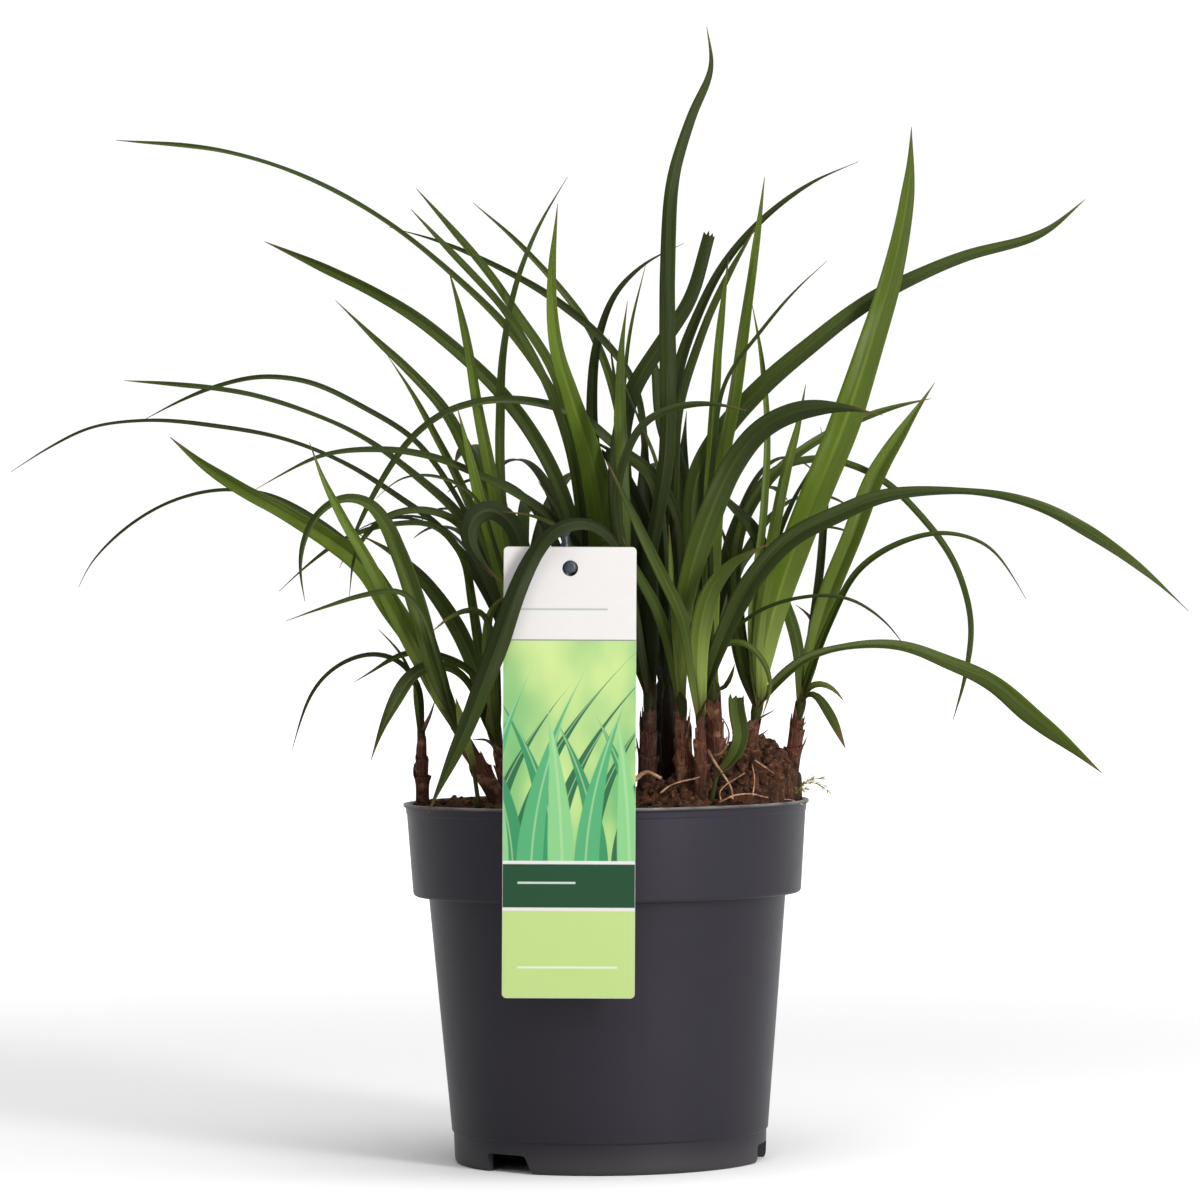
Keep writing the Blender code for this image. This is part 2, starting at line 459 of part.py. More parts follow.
def material(name, colour, roughness):
    made = bpy.data.materials.new(name)
    made.use_nodes = True
    shader = made.node_tree.nodes["Principled BSDF"]
    shader.inputs["Base Color"].default_value = (*colour, 1.0)
    shader.inputs["Roughness"].default_value = roughness
    shader.inputs["Metallic"].default_value = 0.0
    return made


def turned(name, profile, sides, collection):
    """A turned piece: the profile's radii and heights, run round the upright axis by a Screw."""
    mesh = bpy.data.meshes.new(name)
    points = [(r * MM, 0, z * MM) for r, z in profile]
    mesh.from_pydata(points, [(n, n + 1) for n in range(len(points) - 1)], [])
    obj = scene_object(name, mesh, collection)
    screw = obj.modifiers.new("turn", "SCREW")
    screw.steps = screw.render_steps = sides
    screw.use_merge_vertices = True
    screw.merge_threshold = 0.00001
    return obj


def evaluated(obj):
    """The object with its modifiers made real."""
    bpy.context.view_layer.update()
    graph = bpy.context.evaluated_depsgraph_get()
    made = bpy.data.meshes.new_from_object(obj.evaluated_get(graph))
    name, place = obj.name, obj.matrix_world.copy()
    home = obj.users_collection[0]
    bpy.data.objects.remove(obj)
    new = scene_object(name, made, home)
    new.matrix_world = place
    return new


def shade_round(obj, angle=40.0):
    obj.data.shade_smooth()
    obj.data.set_sharp_from_angle(angle=math.radians(angle))


def join_all(obj, collection, operation):
    """Joins a collection to the object, or cuts it from it, in one Boolean."""
    boolean = obj.modifiers.new("join", "BOOLEAN")
    boolean.operation = operation
    boolean.operand_type = "COLLECTION"
    boolean.collection = collection
    boolean.solver = "MANIFOLD"
    return evaluated(obj)


def clean(obj):
    """Welds what lies within two thousandths of a millimetre and keeps the largest body."""
    bm = bmesh.new()
    bm.from_mesh(obj.data)
    bmesh.ops.triangulate(bm, faces=bm.faces)
    bmesh.ops.remove_doubles(bm, verts=bm.verts, dist=0.002 * MM)
    left, bodies = set(bm.faces), []
    while left:
        body, edge_of = set(), [left.pop()]
        while edge_of:
            face = edge_of.pop()
            body.add(face)
            for edge in face.edges:
                for other in edge.link_faces:
                    if other in left:
                        left.discard(other)
                        edge_of.append(other)
        bodies.append(body)
    bodies.sort(key=len)
    for body in bodies[:-1]:
        bmesh.ops.delete(bm, geom=list(body), context="FACES")
    bm.to_mesh(obj.data)
    bm.free()


def loft(name, middle, across, collection):
    """A blade: a folded section with a rib, run along the middle line, alike on both faces."""
    run = np.gradient(middle, axis=0)
    face = np.cross(across, run)
    face /= np.linalg.norm(face, axis=1)[:, None]
    if face[:, 2].mean() < 0:
        face = -face
    lift = face * np.linalg.norm(across, axis=1)[:, None] * FOLD
    rib = face * RIB_THICK / 2
    rings = np.stack([middle + across + lift, middle + rib, middle - across + lift, middle - rib],
        axis=1)
    bm = bmesh.new()
    rows = [[bm.verts.new(Vector(p) * MM) for p in ring] for ring in rings]
    for a, b in zip(rows, rows[1:]):
        # Each quad is split from its edge corner to its rib corner, on both faces alike.
        for edge, ribbed in ((0, 1), (0, 3), (2, 1), (2, 3)):
            bm.faces.new([a[edge], a[ribbed], b[ribbed]])
            bm.faces.new([a[edge], b[ribbed], b[edge]])
    for ring in (rows[0], rows[-1]):
        bm.faces.new([ring[0], ring[1], ring[3]])
        bm.faces.new([ring[2], ring[1], ring[3]])
    bmesh.ops.recalc_face_normals(bm, faces=bm.faces)
    mesh = bpy.data.meshes.new(name)
    bm.to_mesh(mesh)
    bm.free()
    return scene_object(name, mesh, collection)


def facets(blade):
    """Which samples of a blade its facets start from: closer where it bends, and at both ends."""
    line = np.column_stack([blade.line, blade.depth])
    run = np.gradient(line, axis=0)
    run /= np.linalg.norm(run, axis=1)[:, None]
    turn = np.linalg.norm(np.diff(run, axis=0), axis=1)
    step = np.linalg.norm(np.diff(line, axis=0), axis=1)
    cost = np.append(0, np.cumsum(step / FACET + turn * 2.0))
    count = int(max(3, round(cost[-1] * FINENESS)))
    picked = np.searchsorted(cost, np.linspace(0, cost[-1], count + 1))
    return np.unique(np.clip(picked, 0, len(line) - 1))


def shoot_frame(name):
    """Where a shoot's sheath starts in the soil, and the way that it leans."""
    (x, depth, z), crown, width, top = SHOOTS[name]
    foot = seen_to_real(np.float64(x), np.float64(depth), np.float64(z))
    head = seen_to_real(np.float64(crown[0]), np.float64(depth), np.float64(crown[1]))
    lean = (head - foot) / np.linalg.norm(head - foot)
    return foot, head, lean


def place_along(obj, foot, lean):
    obj.location = Vector(foot) * MM
    obj.rotation_euler = Vector(lean).to_track_quat("Z", "Y").to_euler()


def make_shoot(name, blades, plant, cutters):
    """One shoot: its blades joined to a slim core, the sheath round it and its hole in the soil."""
    _, _, width, top = SHOOTS[name]
    foot, head, lean = shoot_frame(name)
    length = np.linalg.norm(head - foot)
    radius = width / 2
    sunk = 16.0
    joined = bpy.data.collections.new("joined")
    bpy.context.scene.collection.children.link(joined)
    if top is None:
        start = foot - lean * sunk
        core_radius = radius * 0.7
        hole_radius = core_radius + GAP * 1.15
    else:
        sheath_long = sunk + length * (top - SHOOTS[name][0][2]) / (SHOOTS[name][1][1]
            - SHOOTS[name][0][2])
        start = foot - lean * sunk
        socket_radius = radius - 0.9
        low_radius = radius + 0.6
        sheath = turned(name + "_sheath", [
            (0, sheath_long - SOCKET), (socket_radius, sheath_long - SOCKET),
            (socket_radius, sheath_long), (radius, sheath_long), (radius + 0.3, sunk + 6),
            (low_radius, sunk), (low_radius * 0.8, 0), (0, 0)], CROWN_SIDES, plant)
        place_along(sheath, start, lean)
        shade_round(sheath)
        sheath.data.materials.append(BROWN)
        start = start + lean * (sheath_long - SOCKET + GAP)
        core_radius = socket_radius - GAP * 1.15
        hole_radius = low_radius + GAP * 1.15
    core_long = np.linalg.norm(head - start) + 3
    point = 1 if top is None else 7
    core = turned(name if top is None else name + "_leaves", [
        (0, core_long + point), (core_radius * 0.5, core_long + point * 0.6),
        (core_radius, core_long - 8), (core_radius, 0), (0, 0)], CROWN_SIDES, plant)
    place_along(core, start, lean)
    core = evaluated(core)
    root_span = min(9.0, core_long - 3 - SOCKET - 2.5)
    for n, blade in enumerate(blades):
        keep = facets(blade)
        middle, across = blade.middle()[keep], blade.across()[keep]
        widths = np.linalg.norm(across, axis=1)
        least = np.where(np.arange(len(keep)) == 0, 0.45, 0.9)
        across *= (np.maximum(widths, least) / np.maximum(widths, 0.01))[:, None]
        # The root of the blade narrows into the core, each at a height and a side of its own.
        turn = 2.4 * n
        side = np.array([math.cos(turn), math.sin(turn), 0]) * core_radius * 0.3
        middle[-1] = head + side - lean * (1 + root_span * n / len(blades))
        across[-1] *= core_radius * (0.5 + 0.2 * n / len(blades)) / np.linalg.norm(across[-1])
        loft("blade", middle, across, joined)
    core = join_all(core, joined, "UNION")
    for obj in list(joined.objects):
        bpy.data.objects.remove(obj)
    bpy.data.collections.remove(joined)
    clean(core)
    shade_round(core, 50)
    core.data.materials.clear()
    core.data.materials.append(GREEN)

    hole = turned("hole_" + name, [(0, 60), (hole_radius, 60), (hole_radius, -GAP), (0, -GAP)],
        CROWN_SIDES, cutters)
    place_along(hole, foot - lean * sunk, lean)
    return core


def make_pot(home, cutters):
    """The pot, turned, with its foot notched and its raised base drained."""
    foot = FOOT_RADIUS
    inner_foot = foot - 2 * WALL - 0.6
    floor = RAISED_BASE + BASE_THICK
    profile = [
        (0, BASE_THICK), (BASE_DISC_RADIUS - BASE_THICK, BASE_THICK),
        (BASE_DISC_RADIUS - BASE_THICK, floor), (BODY_FOOT[0] - WALL - 1.0, floor),
        (BODY_TOP[0] - WALL, BODY_TOP[1] + WALL), (COLLAR_FOOT[0] - WALL - 0.2, BODY_TOP[1] + WALL),
        (COLLAR_TOP[0] - WALL, COLLAR_TOP[1] + 0.8), (COLLAR_TOP[0] - 0.6, POT_HEIGHT),
        (LIP_RADIUS - 0.4, POT_HEIGHT), (LIP_RADIUS, POT_HEIGHT - 0.4),
        (LIP_RADIUS, COLLAR_TOP[1] + 0.5), COLLAR_TOP, COLLAR_FOOT,
        (COLLAR_FOOT[0] - 0.8, 125.6), (COLLAR_FOOT[0] - 2.4, BODY_TOP[1]), BODY_TOP,
        BODY_FOOT, (foot + 0.4, 14.2), (foot, 3.6), (foot - 0.8, 1.3), (foot - 2.6, 0),
        (inner_foot, 0), (inner_foot, RAISED_BASE), (BASE_DISC_RADIUS, RAISED_BASE),
        (BASE_DISC_RADIUS, 0), (0, 0)]
    pot = turned("nursery_pot", profile, POT_SIDES, home)
    for n, angle in enumerate(NOTCH_ANGLES):
        bpy.ops.mesh.primitive_cube_add(size=1)
        notch = bpy.context.object
        notch.name = f"foot_notch_{n + 1}"
        for corner in notch.data.vertices:
            corner.co.x *= NOTCH_WIDTH
            corner.co.y *= 12
            corner.co.z = -1.0 if corner.co.z < 0 else NOTCH_HEIGHT
            # One side of the notch slants, the other stands upright.
            if corner.co.x > 0 and corner.co.z > 0:
                corner.co.x -= 4.0
            corner.co *= MM
        turn = math.radians(angle)
        notch.location = (foot * math.sin(turn) * MM, -foot * math.cos(turn) * MM, 0)
        notch.rotation_euler = (0, 0, turn)
        to_collection(notch, cutters)
    for n in range(DRAIN_HOLES):
        turn = 2 * math.pi * (n + 0.5) / DRAIN_HOLES
        bpy.ops.mesh.primitive_cylinder_add(vertices=10, radius=DRAIN_RADIUS * MM, depth=8 * MM)
        drain = bpy.context.object
        drain.name = f"drain_hole_{n + 1}"
        drain.location = (DRAIN_RING_RADIUS * MM * math.cos(turn),
            DRAIN_RING_RADIUS * MM * math.sin(turn), RAISED_BASE * MM)
        to_collection(drain, cutters)
    cut = pot.modifiers.new("notches and drains", "BOOLEAN")
    cut.operation = "DIFFERENCE"
    cut.operand_type = "COLLECTION"
    cut.collection = cutters
    shade_round(pot)
    pot.data.materials.append(BLACK_PLASTIC)
    return pot


def to_collection(obj, collection):
    for home in list(obj.users_collection):
        home.objects.unlink(obj)
    collection.objects.link(obj)
    obj.hide_render = True
    obj.display_type = "WIRE"


def soil_height(x, y):
    """The soil's surface: its level, the mounds and a crumbly unevenness."""
    height = SOIL_LEVEL - 1.2
    for cx, cy, rise, wide in MOUNDS:
        height += rise * math.exp(-((x - cx) ** 2 + (y - cy) ** 2) / (2 * (wide / 1.5) ** 2))
    crumb = math.sin(x * 0.31 + 1.3) * math.cos(y * 0.27) + math.sin(x * 0.83 - y * 0.61) * 0.6
    radius = math.hypot(x, y)
    fade = min(1.0, max(0.0, (91.0 - radius) / 10.0))
    return height + crumb * fade


def make_soil(home, cutters):
    """The soil: turned to the inside of the pot, its top raised by formula, holes cut for stems."""
    low = BASE_THICK + GAP
    high = RAISED_BASE + BASE_THICK + GAP
    step = BODY_TOP[1] + WALL + GAP
    slack = GAP + 0.25
    body_top = BODY_TOP[0] - WALL - slack
    collar_low = COLLAR_FOOT[0] - WALL - 0.2 - slack
    edge = COLLAR_TOP[0] - WALL - slack - 0.4
    rings = [0, 16, 32, 46, 59, 70, 80]
    profile = [(r, SOIL_LEVEL) for r in rings] + [
        (edge, SOIL_LEVEL), (edge - 0.15, SOIL_LEVEL - 5), (collar_low, step), (body_top, step),
        (BODY_FOOT[0] - WALL - 1.0 - slack, high),
        (BASE_DISC_RADIUS - BASE_THICK - slack, high),
        (BASE_DISC_RADIUS - BASE_THICK - slack, low), (0, low)]
    soil = evaluated(turned("soil", profile, POT_SIDES, home))
    for corner in soil.data.vertices:
        if corner.co.z > (SOIL_LEVEL - 1) * MM:
            corner.co.z = soil_height(corner.co.x / MM, corner.co.y / MM) * MM
    soil = join_all(soil, cutters, "DIFFERENCE")
    clean(soil)
    shade_round(soil)
    soil.data.materials.append(PEAT)
    return soil


def make_label(home):
    """The label: a card with round corners and a hole, hung a little askew."""
    wide, tall = LABEL_SIZE
    curve = bpy.data.curves.new("hanging_label", "CURVE")
    curve.dimensions = "2D"
    curve.fill_mode = "BOTH"
    curve.extrude = LABEL_THICK / 2 * MM
    lean = math.radians(LABEL_LEAN)
    corners = []
    for cx, cy, start in ((1, 1, 0), (-1, 1, 90), (-1, -1, 180), (1, -1, 270)):
        for turn in (0, 45, 90):
            angle = math.radians(start + turn)
            corners.append((cx * (wide / 2 - LABEL_CORNER) + LABEL_CORNER * math.cos(angle),
                cy * (tall / 2 - LABEL_CORNER) + LABEL_CORNER * math.sin(angle)))
    # The hole's centre in the card's own axes, which start at its middle.
    middle = (LABEL_TOP[0] - tall / 2 * math.sin(lean), LABEL_TOP[1] - tall / 2 * math.cos(lean))
    dx, dz = LABEL_HOLE[0] - middle[0], LABEL_HOLE[1] - middle[1]
    hole = (dx * math.cos(lean) - dz * math.sin(lean), dx * math.sin(lean) + dz * math.cos(lean))
    ring = [(hole[0] + LABEL_HOLE_RADIUS * math.cos(math.tau * n / 20),
        hole[1] + LABEL_HOLE_RADIUS * math.sin(math.tau * n / 20)) for n in range(20)]
    for outline in (corners, ring):
        spline = curve.splines.new("POLY")
        spline.points.add(len(outline) - 1)
        for point, (x, y) in zip(spline.points, outline):
            point.co = (x * MM, y * MM, 0, 1)
        spline.use_cyclic_u = True
    card = scene_object("hanging_label", curve, home)
    card.rotation_euler = (math.pi / 2, lean, 0)
    card.location = (middle[0] * MM, LABEL_DEPTH * MM, middle[1] * MM)
    bpy.context.view_layer.update()
    card = evaluated(card)
    bm = bmesh.new()
    bm.from_mesh(card.data)
    bmesh.ops.remove_doubles(bm, verts=bm.verts, dist=0.001 * MM)
    bm.to_mesh(card.data)
    bm.free()
    card.data.materials.append(CARD)
    return card


def make_stake(home, cutters):
    """The stake: a turned pin that leans to the front, with a peg through the label's hole."""
    lean = math.radians(STAKE_LEAN)
    r = STAKE_RADIUS
    stake = turned("label_stake", [
        (0, 147), (1.8, 146.6), (2.7, 145.2), (2.7, 143.4), (1.7, 142), (1.5, 139.4), (r, 137.6),
        (r, -8), (0.8, -17), (0, -17)], 12, home)
    stake.location = Vector(STAKE_FOOT) * MM
    stake.rotation_euler = (lean, 0, 0)
    stake = evaluated(stake)
    pegs = bpy.data.collections.new("peg")
    bpy.context.scene.collection.children.link(pegs)
    bpy.ops.mesh.primitive_cylinder_add(vertices=14, radius=PEG_RADIUS * MM, depth=6 * MM)
    peg = bpy.context.object
    peg.rotation_euler = (math.pi / 2, 0, 0)
    peg.location = (PEG_CENTRE[0] * MM, (LABEL_DEPTH + 1.9) * MM, PEG_CENTRE[1] * MM)
    to_collection(peg, pegs)
    stake = join_all(stake, pegs, "UNION")
    bpy.data.objects.remove(peg)
    bpy.data.collections.remove(pegs)
    clean(stake)
    shade_round(stake)
    stake.data.materials.append(STAKE_PLASTIC)

    hole = turned("hole_label_stake", [(0, 40), (r + GAP * 1.2, 40), (r + GAP * 1.2, -8 - GAP),
        (0.8 + GAP * 1.2, -17 - GAP), (0, -17 - GAP)], 12, cutters)
    hole.location = Vector(STAKE_FOOT) * MM
    hole.rotation_euler = (lean, 0, 0)
    return stake


def posts():
    """What blades bend round: each shoot's stem, the label and the stake."""
    made = []
    for name, (foot, crown, width, _) in SHOOTS.items():
        line = smooth_curve([(foot[0], foot[2] - 4), crown], SAMPLE)
        size = np.full(len(line), width / 2 + 0.9)
        made.append((line, np.full(len(line), float(foot[1])), size, size, name))
    across = np.arange(LABEL_TOP[0] - 33, LABEL_TOP[0] + 31, SAMPLE)
    up = np.arange(POT_HEIGHT + 2, LABEL_TOP[1] + 2, SAMPLE)
    card = np.stack([grid.ravel() for grid in np.meshgrid(across, up)], axis=-1)
    made.append((card, np.full(len(card), LABEL_DEPTH), np.full(len(card), SAMPLE / 2),
        np.full(len(card), LABEL_THICK * 0.75), None))
    heights = np.arange(POT_HEIGHT + 2, LABEL_TOP[1] + 12, SAMPLE)
    pin = np.stack([np.full(len(heights), STAKE_FOOT[0] - 0.6), heights], axis=-1)
    size = np.full(len(pin), STAKE_RADIUS + 0.6)
    made.append((pin, STAKE_FOOT[1] - (heights - STAKE_FOOT[2]) * math.tan(
        math.radians(STAKE_LEAN)), size, size, None))
    return made


for old in list(bpy.data.objects):
    bpy.data.objects.remove(old)

GREEN = material("leaf green", (0.06, 0.13, 0.018), 0.5)
BROWN = material("sheath brown", (0.12, 0.06, 0.035), 0.7)
PEAT = material("peat", (0.075, 0.042, 0.024), 0.95)
BLACK_PLASTIC = material("pot plastic", (0.038, 0.037, 0.041), 0.5)
CARD = material("printed card", (0.62, 0.68, 0.5), 0.4)
STAKE_PLASTIC = material("stake plastic", (0.03, 0.04, 0.05), 0.45)

sedge = bpy.data.collections.new("carex_sedge")
pot_cutters = bpy.data.collections.new("pot_cutters")
soil_cutters = bpy.data.collections.new("soil_cutters")
for group in (sedge, pot_cutters, soil_cutters):
    bpy.context.scene.collection.children.link(group)

leaves = [Blade(*row) for row in BLADES] + grow_back_blades()
settle(leaves, posts())
for shoot in SHOOTS:
    make_shoot(shoot, [b for b in leaves if b.shoot == shoot], sedge, soil_cutters)
make_stake(sedge, soil_cutters)
make_label(sedge)
make_soil(sedge, soil_cutters)
make_pot(sedge, pot_cutters)
for cutter in list(soil_cutters.objects) + list(pot_cutters.objects):
    cutter.hide_render = True
    cutter.display_type = "WIRE"
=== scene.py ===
"""A broad-leaved sedge in its nursery pot, dressed for the picture.

Lengths are in millimetres until a mesh is made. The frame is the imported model.
"""

import json
import math
import random

import bmesh
import bpy
import numpy as np
from mathutils import Matrix, Vector

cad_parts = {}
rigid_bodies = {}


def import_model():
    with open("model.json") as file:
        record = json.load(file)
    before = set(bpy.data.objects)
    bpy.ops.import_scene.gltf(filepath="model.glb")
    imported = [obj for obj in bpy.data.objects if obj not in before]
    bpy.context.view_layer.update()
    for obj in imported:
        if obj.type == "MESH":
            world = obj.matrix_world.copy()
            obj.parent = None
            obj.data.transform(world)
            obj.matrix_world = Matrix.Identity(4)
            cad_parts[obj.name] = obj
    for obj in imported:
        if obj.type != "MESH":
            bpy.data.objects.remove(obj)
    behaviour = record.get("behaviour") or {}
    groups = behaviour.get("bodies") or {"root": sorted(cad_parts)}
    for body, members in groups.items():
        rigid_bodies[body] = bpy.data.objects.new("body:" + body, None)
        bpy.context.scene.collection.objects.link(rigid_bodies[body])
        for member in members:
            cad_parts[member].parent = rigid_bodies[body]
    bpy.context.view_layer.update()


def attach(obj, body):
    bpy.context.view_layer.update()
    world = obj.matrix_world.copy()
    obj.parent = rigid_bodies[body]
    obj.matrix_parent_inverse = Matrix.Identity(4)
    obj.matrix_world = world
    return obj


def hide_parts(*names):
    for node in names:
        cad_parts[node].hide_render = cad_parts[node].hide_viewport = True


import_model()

MM = 0.001

# Pot: radii and heights of its outside, its wall, raised base, notches and drain holes, and
# how many sides it and the stake have.
LIP_RADIUS = 95.0
POT_HEIGHT = 168.0
COLLAR_TOP = (93.9, 166.0)
COLLAR_FOOT = (91.0, 128.0)
BODY_TOP = (83.3, 124.6)
BODY_FOOT = (74.0, 14.8)
FOOT_RADIUS = 72.9
WALL = 1.5
BASE_DISC_RADIUS = 45.0
RAISED_BASE = 8.0
BASE_THICK = 1.8
NOTCH_ANGLES = (-40.0, 80.0, 200.0)
NOTCH_WIDTH = 27.0
NOTCH_HEIGHT = 8.5
NOTCH_REACH = 6.0
DRAIN_HOLES = 4
DRAIN_RING_RADIUS = 58.0
DRAIN_RADIUS = 4.5
POT_SIDES = 160
PIN_SIDES = 36

# Soil: its level, the mounds as centre x, y, height and spread, and how fine its mesh is.
SOIL_LEVEL = 168.0
MOUNDS = [(72.0, -28.0, 20.0, 20.0), (54.0, -32.0, 14.0, 22.0), (26.0, -40.0, 7.0, 24.0),
    (40.0, 38.0, 5.0, 26.0), (83.0, -11.0, 12.0, 15.0)]
SOIL_RINGS = 110
SOIL_SIDES = 400

# Small matter on the soil: how many of each, how far out they are strewn, and how far out
# one may reach.
CRUMBS = 760
CRUMB_SPAN = 90.0
CRUMB_LIMIT = 90.5
FIBRES = 230
FIBRE_SPAN = 86.0
FIBRE_LIMIT = 92.0
MOSS_HAIRS = 120

# Label: the middle of its top edge, its size, its lean and its hole.
LABEL_TOP = (-14.8, 286.0)
LABEL_SIZE = (59.6, 202.8)
LABEL_THICK = 0.8
LABEL_DEPTH = -98.8
LABEL_LEAN = 0.95
LABEL_CORNER = 2.0
LABEL_HOLE = (-14.9, 276.4)
LABEL_HOLE_RADIUS = 3.6

# Stake: where it meets the soil, its lean to the front and the peg through the label.
STAKE_FOOT = (-16.9, -86.0, 150.0)
STAKE_LEAN = 4.0
STAKE_RADIUS = 2.3
PEG_CENTRE = (-14.6, 277.0)
PEG_RADIUS = 2.6

# Blades: the fold of their section, their thickness at the rib and at the edge, how far apart
# the points of a fine one are, and the half width at the tip of a blade that is torn off.
FOLD = 0.34
RIB_THICK = 0.75
EDGE_THICK = 0.22
FINE_STEP = 2.6
TORN_HALF = 1.8

# Sheaths: how fine their mesh is, their wall, how far they start under the soil, and each
# layer's share of the sheath's length with how far the point of its lip rises.
SHEATH_SIDES = 22
SHEATH_ROWS = 14
SHEATH_WALL = 0.28
SHEATH_SUNK = 9.0
SHEATH_LAYERS = ((0.94, 0.30), (0.66, 0.34), (0.40, 0.50))

# In metres: where the clump opens out sideways to the light and where upwards.
OPEN_ASIDE = (0.030, 0.058)
OPEN_ABOVE = (0.255, 0.345)

# The stage, in metres: the floor's half width, and where its glow starts and is full.
FLOOR_REACH = 20.0
GLOW_FROM = (0.35, 2.4)
GLOW = 0.9

# Camera: millimetres of film and lens, and its roll in degrees.
FILM_WIDTH = 36.0
LENS = 153.6
ROLL = -0.7

# Where the eye stands that the blades were measured from, in millimetres, looking along +Y.
EYE_X = -1.7
EYE_Z = 262.0
EYE_DISTANCE = 2400.0

# Each shoot: where it stands on the soil (x and z as seen, y its true depth), the crown where
# its blades part (x and z as seen), the width of its sheath there, and the sheath's top.
# A sheath top of None is a shoot that comes green out of the soil.
SHOOTS = {
    "left_stem": ((-86, -5, 168), (-86, 200), 4.0, 196),
    "left_front_shoot": ((-51, -50, 170), (-70, 204), 6.0, 198),
    "left_shoot": ((-45, -22, 170), (-50, 192), 6.0, 186),
    "label_left_shoot": ((-31, -6, 168), (-38, 214), 7.0, 204),
    "label_back_shoot": ((-10, 17, 168), (-8, 224), 7.0, 210),
    "centre_back_shoot": ((8, 46, 168), (10, 226), 7.0, 210),
    "centre_front_shoot": ((19, -36, 172), (21, 217), 6.5, 209),
    "centre_shoot": ((30, 0, 170), (30, 217), 7.0, 209),
    "inner_shoot": ((27, 28, 169), (28, 221), 9.0, 211),
    "right_inner_shoot": ((37.5, -46, 173), (35.5, 214), 6.6, 206),
    "right_middle_shoot": ((45, -55, 174), (44.5, 207), 4.8, 199),
    "mound_shoot": ((51.5, -34, 184), (50.5, 221), 7.5, 213),
    "right_shoot": ((65, -36, 182), (71.5, 211), 6.0, 203),
    "right_stem": ((86.5, -6, 180), (92, 213), 5.5, 206),
    "back_left_shoot": ((-36, 42, 168), (-40, 214), 6.5, 204),
    "back_right_shoot": ((46, 42, 170), (50, 216), 6.5, 206),
    "young_leaf": ((-60, -66, 169), (-62, 184), 3.6, None),
    "broken_leaf": ((50, -64, 170), (52, 179), 3.6, None),
}

